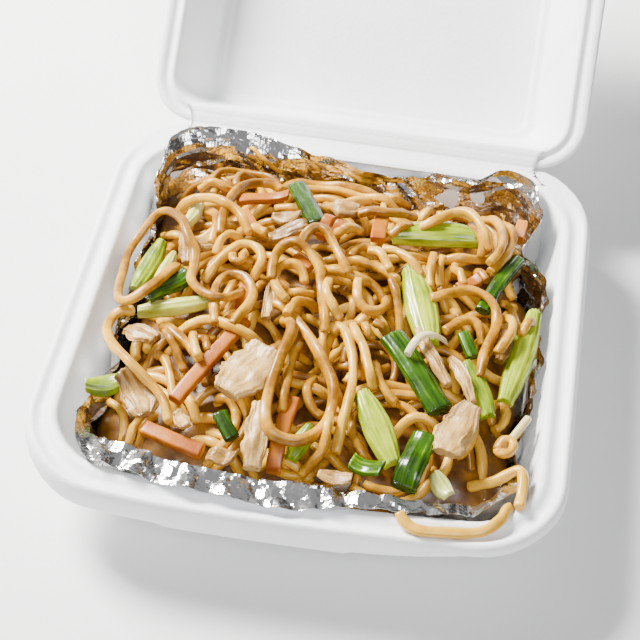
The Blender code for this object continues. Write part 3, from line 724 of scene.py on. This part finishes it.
def stamp(points, shape):
    # Adds what has been laid to the pile
    for x, y, z in points:
        row, column = Pile.index(x, y)
        rows, columns = row + shape[0], column + shape[1]
        Pile.top[rows, columns] = np.maximum(Pile.top[rows, columns], z + shape[2])


# The noodles, in mm: their section, how they lie, and how the fill between them wanders
noodle = {
    "radius": 2.2, "step": 1.2, "squareness": 3.0, "flatness": 0.86, "press": 1.0, "steep": 0.55,
    "softPasses": 14, "fillLength": 105, "fewest": 16, "bundle": 3, "seed": 23,
    "bend": (0.02, 0.075), "swing": (0.0, 0.05), "fillFrom": (-98.0, -96.0), "fillTo": (100, 108),
    "fillDive": (5.0, 12.0), "readDive": 7.0, "readSides": 12, "readSwell": 1.1,
    "readHeight": 52.0,
}
rng = random.Random(noodle["seed"])


def lidLimit(x, y, radius):
    # Highest that a noodle's middle may lie below the shut lid's slanting walls
    side = tray["halfWidth"] - abs(x)
    front = y - tray["front"]
    back = tray["back"] - y
    inset = min(side, front, back)
    wall = lid["shutRim"] + max(inset - lid["shutInset"], 0) * lid["shutSlope"]
    return min(wall - 2 * radius, lid["shutTop"] - radius)


def layNoodle(plan, radius, shape):
    # Heights of a noodle's centre line laid over the pile and over itself
    count = len(plan)
    step, fall = noodle["step"], noodle["steep"] * noodle["step"]
    base = np.array([restOn(x, y, shape) for x, y in plan])
    heights = base.copy()
    apart = np.sqrt(((plan[:, None] - plan[None]) ** 2).sum(2))
    order = np.arange(count)
    earlier = (order[:, None] - order[None] > 3 * radius / step) & (apart < 2 * radius * 0.97)
    gap = np.where(earlier, np.sqrt(np.maximum(4 * radius * radius - apart ** 2, 0)), 0)
    for attempt in range(4):
        if earlier.any():
            over = np.where(earlier, heights[None] + gap, -1e9).max(1)
            heights = np.maximum(heights, over)
        for index in range(1, count):
            heights[index] = max(heights[index], heights[index - 1] - fall)
        for index in range(count - 2, -1, -1):
            heights[index] = max(heights[index], heights[index + 1] - fall)
        soft = heights.copy()
        soft[1:-1] = (heights[:-2] + 2 * heights[1:-1] + heights[2:]) / 4
        heights = np.maximum(soft, base - 0.25)
    # Soft noodles press into what they cross instead of stepping over every bump
    for attempt in range(noodle["softPasses"]):
        heights[1:-1] = (heights[:-2] + heights[1:-1] + heights[2:]) / 3
        heights = np.maximum(heights, base - noodle["press"])
    return heights


def smoothLine(points, step):
    # A curve through listed points, evenly spaced
    points = [Vector(point) for point in points]
    padded = [points[0] * 2 - points[1]] + points + [points[-1] * 2 - points[-2]]
    fine = []
    for a, b, c, d in zip(padded, padded[1:], padded[2:], padded[3:]):
        for part in range(12):
            t = part / 12
            fine.append(0.5 * (2 * b + (c - a) * t + (2 * a - 5 * b + 4 * c - d) * t * t
                               + (3 * b - a - 3 * c + d) * t ** 3))
    fine.append(points[-1])
    even = [fine[0]]
    carried = 0.0
    for first, second in zip(fine, fine[1:]):
        span = (second - first).length
        while carried + span >= step:
            part = (step - carried) / span
            first = first.lerp(second, part)
            even.append(first)
            span = (second - first).length
            carried = 0.0
        carried += span
    return even


def tubeFrames(points):
    # Side and up directions carried along a centre line without twisting
    frames = []
    side = None
    for index, point in enumerate(points):
        ahead = (points[min(index + 1, len(points) - 1)] - points[max(index - 1, 0)]).normalized()
        if side is None:
            side = ahead.cross(Vector((0, 0, 1)))
        side = (side - ahead * side.dot(ahead)).normalized()
        frames.append((point, side, side.cross(ahead)))
    return frames


def addTube(bm, points, profile, sides, tone):
    # A tube along a centre line, its ends rounded shut; profile(turn, share) gives offsets in mm
    ends = (0.0, 0.62, 0.9)
    frames = tubeFrames(points)
    last = len(frames) - 1
    rows = [(0, scale) for scale in ends] + [(index, 1.0) for index in range(1, last)]
    rows += [(last, scale) for scale in reversed(ends)]
    length = sum((b - a).length for a, b in zip(points, points[1:]))

    def place(column, row):
        index, scale = rows[row]
        centre, side, up = frames[index]
        across, lift = profile(column / sides * 2 * math.pi, index / last)
        return centre + side * across * scale + up * lift * scale

    addSheet(bm, sides, len(rows) - 1, place, (1.0, length / 10), tone)


def noodleProfile(radius, twist, phase):
    # A squared section that swells a little along its length and turns slowly
    def profile(turn, share):
        swell = 1 + 0.05 * math.sin(phase + share * 19) + 0.03 * math.sin(phase * 2 + share * 43)
        angle = turn + twist * share
        power = 2 / noodle["squareness"]
        x = math.copysign(abs(math.cos(angle)) ** power, math.cos(angle))
        y = math.copysign(abs(math.sin(angle)) ** power, math.sin(angle)) * noodle["flatness"]
        back = math.cos(twist * share), math.sin(twist * share)
        return (radius * swell * (x * back[0] + y * back[1]),
                radius * swell * (y * back[0] - x * back[1]))
    return profile


def addNoodle(bm, plan, heights, radius, sides):
    points = [Vector((x, y, z)) for (x, y), z in zip(plan, heights)]
    profile = noodleProfile(radius, rng.uniform(-5, 5), rng.uniform(0, 6))
    addTube(bm, points, profile, sides, rng.random())


def diveEnds(heights, depth, run):
    # Both ends of a noodle sink into the heap
    count = len(heights)
    for index in range(count):
        near = min(index, count - 1 - index) * noodle["step"]
        heights[index] -= depth * (1 - ease(near / run))


def wanderPath(x, y, length):
    # A winding path in plan that stops at the food's edge
    heading = rng.uniform(0, 2 * math.pi)
    bend = rng.choice((-1, 1)) * rng.uniform(*noodle["bend"])
    swing = rng.uniform(*noodle["swing"])
    phase = rng.uniform(0, 6)
    plan = []
    while len(plan) * noodle["step"] < length:
        if not isInside(x, y, 1.5):
            break
        plan.append((x, y))
        heading += noodle["step"] * (bend + swing * math.sin(phase + len(plan) * 0.09))
        x += noodle["step"] * math.cos(heading)
        y += noodle["step"] * math.sin(heading)
    return plan


def besidePath(plan, away):
    # The same path moved sideways
    ahead = np.gradient(plan, axis=0)
    ahead /= np.linalg.norm(ahead, axis=1)[:, None]
    return plan + away * np.column_stack([-ahead[:, 1], ahead[:, 0]])


def layFiller(bm, spacing, highest, sides):
    # Bundles of noodles that wander over the pile and stop where they would climb too high
    shape = brush(noodle["radius"])
    laid = 0
    startY = noodle["fillFrom"][1]
    while startY < noodle["fillTo"][1]:
        startX = noodle["fillFrom"][0]
        while startX < noodle["fillTo"][0]:
            x = startX + rng.uniform(-0.5, 0.5) * spacing
            y = startY + rng.uniform(-0.5, 0.5) * spacing
            startX += spacing
            path = np.array(wanderPath(x, y, rng.uniform(0.5, 1.0) * noodle["fillLength"]))
            if len(path) < noodle["fewest"]:
                continue
            for strand in range(rng.randint(1, noodle["bundle"])):
                radius = noodle["radius"] * rng.uniform(0.88, 1.08)
                first = rng.randint(0, 8)
                away = strand * noodle["radius"] * rng.uniform(2.0, 2.5)
                plan = besidePath(path, away)[first:len(path) - rng.randint(0, 8)]
                if len(plan) < noodle["fewest"] or not all(isInside(*spot, 1.0) for spot in plan):
                    continue
                heights = layNoodle(plan, radius, shape)
                limit = np.array([min(heapTop(*spot) + highest, lidLimit(*spot, radius))
                                  for spot in plan])
                over = np.nonzero(heights > limit)[0]
                if len(over):
                    plan, heights = plan[:over[0]], heights[:over[0]]
                if len(plan) < noodle["fewest"]:
                    continue
                stamp(np.column_stack([plan, heights]), shape)
                diveEnds(heights, *noodle["fillDive"])
                addNoodle(bm, plan[::2], heights[::2], radius, sides)
                laid += 1
        startY += spacing
    return laid


def buildCore(material):
    # The imported middle of the heap, below the noodles that show, in a darker noodle colour that is painted
    # shade for the gaps between them
    bm = newShape()
    count = heap["grid"]

    def place(column, row):
        u, v = 2 * column / count - 1, 2 * row / count - 1
        longest = max(abs(u), abs(v), 1e-6)
        angle = math.atan2(v, u)
        reach = (foodReach[int(math.degrees(angle)) % 360] - 1.0) * longest
        x, y = reach * math.cos(angle), reach * math.sin(angle)
        fall = heap["fall"] * clamp((longest - heap["fallFrom"]) / 0.14)
        grain = heap["grain"] * noise.noise(Vector((x, y, 0)) / heap["grainSize"])
        return x, y, heapTop(x, y) - heap["sunk"] - fall + grain

    addSheet(bm, count, count, place, weld=False)
    for vert in bm.verts:
        x, y, z = vert.co / mm
        row, column = Pile.index(x, y)
        spread = slice(row - 3, row + 4), slice(column - 3, column + 4)
        Pile.top[spread] = np.maximum(Pile.top[spread], z)
    lower = bmesh.ops.extrude_face_region(bm, geom=list(bm.faces))
    for item in lower["geom"]:
        if isinstance(item, bmesh.types.BMVert):
            item.co = Vector((item.co.x * 0.9, item.co.y * 0.9, heap["coreFoot"] * mm))
    addPiece("noodleCore", bm, material, "tray", ["noodle_heap"])


def wheatNoodle(name, light, middle, dark):
    # Thick boiled wheat noodles tossed in sauce: soft and translucent with an oily shine
    material, tree, shader = newMaterial(name, {
        "Roughness": 0.35, "IOR": 1.42, "Subsurface Weight": 0.02,
        "Subsurface Radius": (0.003, 0.0018, 0.0006), "Subsurface Scale": 1.0,
        "Coat Weight": 0.15, "Coat Roughness": 0.15})
    place = addNode(tree, "ShaderNodeTexCoord").outputs["Object"]
    tone = addNode(tree, "ShaderNodeAttribute", {"attribute_name": "tone"})
    patch = addNode(tree, "ShaderNodeTexNoise", {"Scale": 55.0, "Detail": 3.0}, {"Vector": place})
    speck = addNode(tree, "ShaderNodeTexNoise", {"Scale": 420.0, "Detail": 2.0}, {"Vector": place})
    mix = addNode(tree, "ShaderNodeMath", {"operation": "MULTIPLY_ADD", 1: 0.35},
                  {0: tone.outputs["Fac"], 2: patch.outputs["Fac"]})
    total = addNode(tree, "ShaderNodeMath", {"operation": "MULTIPLY_ADD", 1: 0.25},
                    {0: speck.outputs["Fac"], 2: mix.outputs[0]})
    tint = addNode(tree, "ShaderNodeValToRGB", None, {"Fac": total.outputs[0]},
                   [(0.6, dark), (0.78, middle), (0.98, light)])
    tree.links.new(tint.outputs["Color"], shader.inputs["Base Color"])
    bump = addNode(tree, "ShaderNodeBump", {"Strength": 0.25, "Distance": 0.0004},
                   {"Height": speck.outputs["Fac"]})
    tree.links.new(bump.outputs["Normal"], shader.inputs["Normal"])
    return material


noodleSkin = wheatNoodle("boiledWheatNoodle", "DAA62E", "C0870E", "845400")
# The core wears a darker copy of the noodle colours: painted shade for the deep gaps between the noodles
buildCore(wheatNoodle("soakedWheatNoodle", "8C5E0C", "643E06", "402402"))

# Spacing of the starts, how far over the heap the noodles may climb, and sides of a tube
fillLayers = {
    "noodlesDeep": (14.0, -5.0, 8), "noodlesBelow": (12.0, -1.8, 8),
    "noodlesBetween": (13.0, 2.4, 10),
}


def addFiller(name):
    bm = newShape()
    count = layFiller(bm, *fillLayers[name])
    addPiece(name, bm, noodleSkin, "tray")
    print(count, name)


addFiller("noodlesDeep")
addFiller("noodlesBelow")


# Slices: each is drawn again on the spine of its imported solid, in steps of so many mm
sliceGrid = {"step": 0.9, "ends": (0.0, 0.5, 0.86, 0.97)}


def readSlice(name):
    # A solid's spine in mm: middle, run and side directions, bends in plan, its half length,
    # half width, and curves for the heights of its underside and top
    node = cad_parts[name]
    spots = np.array([vert.co for vert in node.data.vertices]) / mm
    middle = (spots.max(0) + spots.min(0)) / 2
    flat = spots[:, :2] - middle[:2]
    values, vectors = np.linalg.eigh(flat.T @ flat)
    run = vectors[:, 1]
    side = np.array((-run[1], run[0]))
    along, across = flat @ run, flat @ side
    bend = np.polyfit(along, across, 2)
    off = across - np.polyval(bend, along)
    tree = BVHTree.FromPolygons([vert.co / mm for vert in node.data.vertices],
                                [face.vertices for face in node.data.polygons])
    stops, lows, highs = [], [], []
    for share in np.linspace(-0.94, 0.94, 13):
        stop = share * (along.max() - along.min()) / 2 + (along.max() + along.min()) / 2
        spot = middle[:2] + run * stop + side * np.polyval(bend, stop)
        below = tree.ray_cast(Vector((*spot, -50)), Vector((0, 0, 1)))[0]
        above = tree.ray_cast(Vector((*spot, 200)), Vector((0, 0, -1)))[0]
        if below and above:
            stops.append(stop)
            lows.append(below.z)
            highs.append(above.z)
    return {
        "middle": middle[:2], "run": run, "side": side, "bend": bend,
        "ends": (along.min(), along.max()), "halfWidth": np.abs(off).max(),
        "low": np.polyfit(stops, lows, 3), "high": np.polyfit(stops, highs, 3),
    }


def slicePoint(read, share):
    # The underside's point and the top's height at a share of the spine
    stop = read["ends"][0] + (read["ends"][1] - read["ends"][0]) * share
    spot = read["middle"] + read["run"] * stop + read["side"] * np.polyval(read["bend"], stop)
    return Vector((*spot, np.polyval(read["low"], stop))), np.polyval(read["high"], stop)


def addSlice(bm, read, profile, sides, tone):
    # profile(turn, share, run) gives offsets as shares of half width and of thickness
    length = read["ends"][1] - read["ends"][0]
    count = max(int(length / sliceGrid["step"]), 8)
    spine = [slicePoint(read, index / count) for index in range(count + 1)]
    ends = sliceGrid["ends"]
    rows = [(0, scale) for scale in ends] + [(index, 1.0) for index in range(1, count)]
    rows += [(count, scale) for scale in reversed(ends)]

    def place(column, row):
        index, scale = rows[row]
        low, high = spine[index]
        ahead = spine[min(index + 1, count)][0] - spine[max(index - 1, 0)][0]
        side = Vector((-ahead.y, ahead.x, 0)).normalized()
        share = index / count
        tall = max(high - low.z, 1.5)
        across, lift = profile(column / sides * 2 * math.pi, share, share * length)
        centre = low + Vector((0, 0, tall * 0.45))
        return (centre + side * across * read["halfWidth"] * scale
                + Vector((0, 0, (lift - 0.45) * tall * scale)))

    addSheet(bm, sides, len(rows) - 1, place, (2 * read["halfWidth"] / 10, length / 10), tone)


def superRound(turn, power):
    # A circle that squares up as the power grows
    x = math.copysign(abs(math.cos(turn)) ** (2 / power), math.cos(turn))
    y = math.copysign(abs(math.sin(turn)) ** (2 / power), math.sin(turn))
    return x, y


def stalkProfile(seed, ribs):
    # Celery or leek: a ribbed convex back over a hollowed underside, narrow at both ends
    def profile(turn, share, run):
        taper = 0.45 + 0.55 * math.sin(math.pi * clamp(share, 0.06, 0.94)) ** 0.7
        x, y = superRound(turn, 2.2)
        rib = 0.07 * math.cos(x * ribs * math.pi) * clamp(y * 3)
        waver = 0.05 * noise.noise(Vector((x * 2, run / 6, seed)))
        top = 0.32 + 0.68 * math.sqrt(max(1 - x * x, 0))
        hollow = 0.28 * (1 - x * x) * (1 if y < -0.4 else -y * 2.5)
        lift = top * y ** 0.5 if y > 0 else hollow
        return x * taper * (1 + waver), lift + rib + waver
    return profile


def leafProfile(seed):
    # Spring onion: a limp tube, wrinkled along its length
    def profile(turn, share, run):
        x, y = superRound(turn, 2.3)
        fold = 0.10 * noise.noise(Vector((math.cos(turn) * 2, math.sin(turn) * 2, run / 9 + seed)))
        pinch = 0.10 * math.cos(turn * 2 + seed)
        size = 0.92 + fold + pinch * 0.4 + 0.05 * math.cos(turn * 9)
        return x * size, 0.5 + 0.5 * y * size
    return profile


def stripProfile(seed):
    # Carrot: a cut strip with crisp long edges
    def profile(turn, share, run):
        x, y = superRound(turn, 5.0)
        waver = 0.06 * noise.noise(Vector((run / 5, math.cos(turn), seed)))
        return x * (0.97 + waver), 0.5 + 0.5 * y * (0.97 + waver)
    return profile


def meatProfile(seed):
    # Chicken: torn along its grain, lumpy, with fibres that run with the slice
    def profile(turn, share, run):
        x, y = superRound(turn, 2.4)
        taper = 0.5 + 0.5 * math.sin(math.pi * clamp(share, 0.05, 0.95)) ** 0.7
        edge = 1 if x > 0 else -1
        ragged = 0.26 * noise.noise(Vector((edge * 3, run / 6, seed)))
        ragged += 0.12 * noise.noise(Vector((edge * 3, run / 2, seed)))
        fibre = abs(noise.noise(Vector((x * 5.5 + 0.3 * math.sin(run / 7), run / 22, seed))))
        lump = 0.24 * noise.noise(Vector((x * 1.3, run / 7, seed + 5)))
        lift = 0.5 + 0.42 * y * (1 + lump) + (0.34 * fibre - 0.1 + lump * 0.5) * clamp(y * 2)
        return x * (0.84 * taper + ragged), lift
    return profile


def strandProfile(seed):
    # Sprout: a plain round strand
    def profile(turn, share, run):
        size = 0.9 + 0.08 * noise.noise(Vector((math.cos(turn), run / 5, seed)))
        return math.cos(turn) * size, 0.5 + 0.5 * math.sin(turn) * size
    return profile


def wetSkin(name, stops, settings, stretch, bumpScale=400.0, bumpLift=0.0003):
    # Moist food: a ramp of its own shades over a noise that runs with the slice
    material, tree, shader = newMaterial(name, settings)
    coords = addNode(tree, "ShaderNodeTexCoord")
    drawn = addNode(tree, "ShaderNodeMapping", {"Scale": (stretch[0], stretch[1], 1)},
                    {"Vector": coords.outputs["UV"]})
    streak = addNode(tree, "ShaderNodeTexNoise", {"Scale": 1.0, "Detail": 4.0, "Roughness": 0.6},
                     {"Vector": drawn.outputs["Vector"]})
    cloud = addNode(tree, "ShaderNodeTexNoise", {"Scale": 90.0, "Detail": 2.0},
                    {"Vector": coords.outputs["Object"]})
    tone = addNode(tree, "ShaderNodeAttribute", {"attribute_name": "tone"})
    first = addNode(tree, "ShaderNodeMath", {"operation": "MULTIPLY_ADD", 1: 0.3},
                    {0: tone.outputs["Fac"], 2: streak.outputs["Fac"]})
    total = addNode(tree, "ShaderNodeMath", {"operation": "MULTIPLY_ADD", 1: 0.5},
                    {0: cloud.outputs["Fac"], 2: first.outputs[0]})
    even = addNode(tree, "ShaderNodeMath", {"operation": "MULTIPLY", 1: 0.555},
                   {0: total.outputs[0]})
    tint = addNode(tree, "ShaderNodeValToRGB", None, {"Fac": even.outputs[0]}, stops)
    tree.links.new(tint.outputs["Color"], shader.inputs["Base Color"])
    grain = addNode(tree, "ShaderNodeTexNoise", {"Scale": bumpScale, "Detail": 2.0},
                    {"Vector": coords.outputs["Object"]})
    both = addNode(tree, "ShaderNodeMath", {"operation": "ADD"},
                   {0: grain.outputs["Fac"], 1: streak.outputs["Fac"]})
    bump = addNode(tree, "ShaderNodeBump", {"Strength": 0.5, "Distance": bumpLift},
                   {"Height": both.outputs[0]})
    tree.links.new(bump.outputs["Normal"], shader.inputs["Normal"])
    return material


def wetFinish(roughness, coat, coatRoughness, glow=0.0, radius=None):
    # A film of sauce over flesh: a clear shine, and for pale food some light let in
    finish = {"Roughness": roughness, "IOR": 1.4, "Coat Weight": coat,
              "Coat Roughness": coatRoughness}
    if glow:
        finish.update({"Subsurface Weight": glow, "Subsurface Radius": radius,
                       "Subsurface Scale": 1.0})
    return finish


slices = {
    "celery": {  # cut across the stalk and stir-fried: glossy, ribbed, lit through
        "skin": wetSkin("cookedCelery", [(0.38, "4E6600"), (0.5, "8CA000"), (0.66, "BEC836")],
                        wetFinish(0.3, 0.4, 0.12, 0.1, (0.002, 0.003, 0.0006)), (9.0, 0.5)),
        "slot": "celery", "sides": 44, "profile": lambda seed: stalkProfile(seed, 5)},
    "leek": {  # the pale end of the stem, softened: smoother and more translucent
        "skin": wetSkin("cookedLeek", [(0.38, "8A9218"), (0.5, "B4B946"), (0.64, "D8D890")],
                        wetFinish(0.3, 0.4, 0.12, 0.15, (0.002, 0.003, 0.0008)), (12.0, 0.5)),
        "slot": "celery", "sides": 36, "profile": lambda seed: stalkProfile(seed, 3)},
    "spring_onion": {  # waxy leaf, wilted: deep green with long sharp lights
        "skin": wetSkin("onionLeaf", [(0.4, "162C00"), (0.53, "305400"), (0.66, "84A80C")],
                        wetFinish(0.26, 0.5, 0.1), (14.0, 0.4)),
        "slot": "spring_onion", "sides": 36, "profile": leafProfile},
    "carrot": {  # knife-cut root, cooked: even colour, flat moist faces
        "skin": wetSkin("cookedCarrot", [(0.38, "8A4200"), (0.5, "AA5E00"), (0.66, "C07C00")],
                        wetFinish(0.38, 0.15, 0.14), (3.0, 0.6)),
        "slot": "carrot", "sides": 28, "profile": stripProfile},
    "chicken": {  # sliced breast, fried: matt along its fibres, with a little fat on top
        "skin": wetSkin("cookedChicken", [(0.4, "6E4A12"), (0.5, "A67C3A"), (0.6, "CCA664")],
                        wetFinish(0.42, 0.2, 0.2, 0.04, (0.002, 0.0015, 0.0008)),
                        (7.0, 0.8), 700.0, 0.0006),
        "slot": "chicken", "sides": 52, "profile": meatProfile},
    "sprout": {  # blanched shoot: watery and nearly clear
        "skin": wetSkin("paleSprout", [(0.4, "D2BC70"), (0.5, "E2D29C"), (0.62, "EEE4C0")],
                        wetFinish(0.28, 0.4, 0.12, 0.2, (0.003, 0.002, 0.001)), (4.0, 0.5)),
        "slot": "sprout", "sides": 14, "profile": strandProfile},
}


def buildSlices():
    for kind, spec in slices.items():
        for name in sorted(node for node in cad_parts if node.rsplit("_", 1)[0] == kind):
            seed = hashUnit(len(name), sum(name.encode())) * 40
            bm = newShape()
            addSlice(bm, readSlice(name), spec["profile"](seed), spec["sides"],
                     tone=hashUnit(sum(name.encode()), 7) * 0.5 + 0.5)
            for vert in bm.verts:
                x, y, z = vert.co / mm
                row, column = Pile.index(x, y)
                spread = slice(row - 1, row + 2), slice(column - 1, column + 2)
                Pile.top[spread] = np.maximum(Pile.top[spread], z)
            first, number = name.rsplit("_", 1)
            parts = first.split("_")
            title = parts[0] + "".join(part.title() for part in parts[1:]) + "Slice" + number
            addPiece(title, bm, spec["skin"], "tray", [name])


buildSlices()
print("slices made")

addFiller("noodlesBetween")

# Noodles read off the photograph, in its pixels, lowest first: width in pixels, then points
readNoodles = (
    (4.5, (199, 161), (216, 162), (233, 163), (249, 164), (264, 170), (280, 175)),
    (7, (209, 178), (216, 172), (228, 169), (243, 171), (260, 174), (272, 178), (282, 182)),
    (8, (199, 188), (211, 185), (223, 185), (233, 186)),
    (8, (238, 183), (236, 179), (240, 175), (249, 176), (256, 178)),
    (9, (334, 246), (344, 242), (354, 236), (363, 235)),
    (9, (358, 210), (376, 211), (392, 213), (416, 213)),
    (8, (390, 231), (402, 225), (412, 221)),
    (9, (206, 206), (214, 211), (217, 222), (214, 232), (209, 240)),
    (9, (237, 231), (251, 235), (268, 241)),
    (8, (215, 249), (221, 239), (229, 234), (238, 235), (244, 240)),
    (9, (220, 230), (223, 214), (229, 201), (236, 191), (245, 185), (256, 183), (270, 184),
     (284, 187)),
    (9, (175, 211), (182, 205), (192, 200), (204, 198), (215, 199), (225, 203), (236, 210),
     (243, 219), (248, 227), (250, 232)),
    (9, (203, 277), (213, 268), (223, 258), (232, 250), (238, 244), (245, 242), (253, 243),
     (259, 248), (262, 256), (261, 264), (256, 271), (251, 277)),
    (8, (232, 249), (233, 258), (237, 262), (242, 260), (243, 252), (248, 248)),
    (9, (175, 322), (193, 320), (210, 320), (222, 323), (236, 328), (249, 335), (262, 341)),
    (9, (215, 319), (214, 302), (215, 290), (220, 281), (228, 276), (237, 275), (245, 278),
     (251, 285), (253, 294), (250, 302), (244, 311), (236, 318), (230, 323)),
    (9, (133, 306), (124, 309), (115, 315), (109, 323), (107, 331), (110, 341), (117, 350),
     (127, 359), (143, 375), (161, 396), (169, 418)),
    (9, (177, 261), (169, 271), (157, 282), (145, 290), (135, 297), (126, 301), (119, 299),
     (118, 293), (119, 285), (123, 271), (127, 256), (135, 242), (141, 234), (149, 223),
     (157, 214), (166, 211), (175, 214), (183, 221), (187, 232), (191, 242), (195, 252),
     (194, 267), (191, 276), (193, 283), (200, 290), (209, 295), (219, 297), (228, 297),
     (237, 292), (242, 286)),
    (9, (161, 319), (170, 327), (179, 336), (191, 347), (201, 358)),
    (8, (165, 326), (169, 335), (176, 347), (184, 359)),
    (8, (193, 330), (194, 343), (199, 354)),
    (8, (205, 334), (208, 347)),
    (9, (341, 256), (356, 260), (374, 266), (391, 273), (400, 276)),
    (10, (322, 266), (333, 269), (347, 273), (360, 278), (374, 282), (388, 289), (392, 293)),
    (9, (298, 246), (306, 239), (316, 237), (326, 241), (333, 248), (341, 258), (350, 269)),
    (8, (351, 254), (356, 248), (365, 244), (375, 244), (385, 243)),
    (8, (368, 251), (377, 253), (385, 260), (391, 267)),
    (8, (382, 247), (396, 253), (409, 260), (423, 271)),
    (8, (391, 283), (396, 298), (399, 311), (402, 327)),
    (9, (358, 286), (357, 295), (359, 304), (367, 310), (377, 311), (384, 307), (387, 299),
     (385, 293)),
    (9, (331, 320), (340, 326), (347, 334), (350, 345), (353, 360), (352, 385), (343, 420),
     (335, 452)),
    (8, (353, 320), (357, 334), (363, 345), (367, 360), (373, 382), (377, 385)),
    (8, (365, 320), (368, 329), (374, 337)),
    (8, (374, 317), (382, 325), (390, 332)),
    (9, (299, 339), (295, 348), (291, 359), (281, 410)),
    (8, (322, 355), (323, 338), (325, 330), (332, 329), (338, 335)),
    (10, (274, 297), (280, 303), (287, 310), (296, 320), (305, 331), (313, 343), (325, 365),
     (333, 385), (331, 410), (318, 432), (294, 441), (270, 431), (266, 405), (279, 360),
     (288, 341), (292, 331), (291, 323), (286, 319), (280, 319)),
    (9, (287, 311), (289, 307), (296, 302), (305, 302), (313, 304), (319, 310)),
    (8, (283, 288), (294, 292), (305, 292), (315, 289)),
    (9, (305, 279), (303, 271), (296, 266), (287, 265), (279, 268), (275, 274), (274, 282),
     (277, 290), (282, 296), (289, 302)),
    (9, (271, 276), (274, 261), (280, 252), (289, 248), (298, 248), (307, 253), (314, 262),
     (320, 274), (321, 286), (322, 298), (324, 311), (325, 325), (324, 330)),
    (9, (329, 276), (327, 285), (327, 294), (331, 302), (336, 311), (341, 317)),
    (8, (434, 252), (432, 262), (430, 274), (432, 285)),
    (8, (444, 252), (440, 265), (440, 276), (442, 285)),
    (8, (477, 261), (483, 269), (488, 277)),
    (8, (453, 264), (460, 271), (466, 283)),
    (8, (453, 304), (462, 311), (474, 317)),
    (9, (535, 316), (527, 323), (520, 334)),
    (9, (445, 327), (456, 323), (467, 320), (476, 323), (481, 331), (484, 343)),
    (9, (502, 315), (510, 317), (513, 325), (510, 335), (504, 343), (497, 350)),
    (9, (431, 293), (440, 294), (453, 293), (467, 291), (478, 293), (488, 298), (495, 307),
     (497, 318), (495, 329), (490, 341), (485, 352), (483, 360), (480, 375)),
    (9, (471, 221), (479, 230), (483, 245), (479, 256)),
    (9, (502, 220), (511, 229), (513, 240), (508, 253), (498, 263), (489, 269)),
    (9, (481, 217), (494, 221), (501, 229), (503, 240), (499, 252), (489, 260)),
    (9, (420, 223), (436, 221), (450, 215), (463, 213), (474, 217), (482, 227), (488, 239),
     (492, 247)),
    (9, (330, 410), (322, 450), (300, 465)),
    (9, (313, 470), (332, 495), (349, 498), (399, 505)),
    (8, (196, 472), (216, 480)),
    (8, (497, 446), (503, 439), (511, 441), (513, 449), (507, 456), (499, 453), (497, 446)),
)
overhangNoodles = (
    (9, (399, 511), (405, 522), (418, 530), (440, 532), (480, 532), (500, 520), (507, 507),
     (512, 498)),
    (9, (473, 461), (500, 463), (521, 465), (523, 484), (519, 509)),
)


def layRead(bm, rows, sink):
    # Noodles laid where the photograph shows them, their ends sunk by a depth in mm
    scale = photoView["pixelsPerMm"]
    pixelStep = noodle["step"] * scale
    for width, *points in rows:
        radius = width / scale / 2 * noodle["readSwell"]
        shape = brush(radius)
        pixels = np.array([tuple(point) for point in smoothLine(points, pixelStep)])
        heights = np.full(len(pixels), noodle["readHeight"])
        for attempt in range(3):
            plan = pixelToPlan(pixels, heights)
            heights = layNoodle(plan, radius, shape)
        if sink:
            heights = np.minimum(heights, [lidLimit(*spot, radius) for spot in plan])
        stamp(np.column_stack([plan, heights]), shape)
        diveEnds(heights, sink, noodle["readDive"])
        addNoodle(bm, plan, heights, radius, noodle["readSides"])


bm = newShape()
layRead(bm, readNoodles, 3.0)
addPiece("noodlesOnTop", bm, noodleSkin, "tray")
bm = newShape()
layRead(bm, overhangNoodles, 0.0)
edgeNoodles = addPiece("noodlesOverEdge", bm, noodleSkin, "tray")
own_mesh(edgeNoodles)
print("noodles on top laid")

bpy.context.view_layer.update()
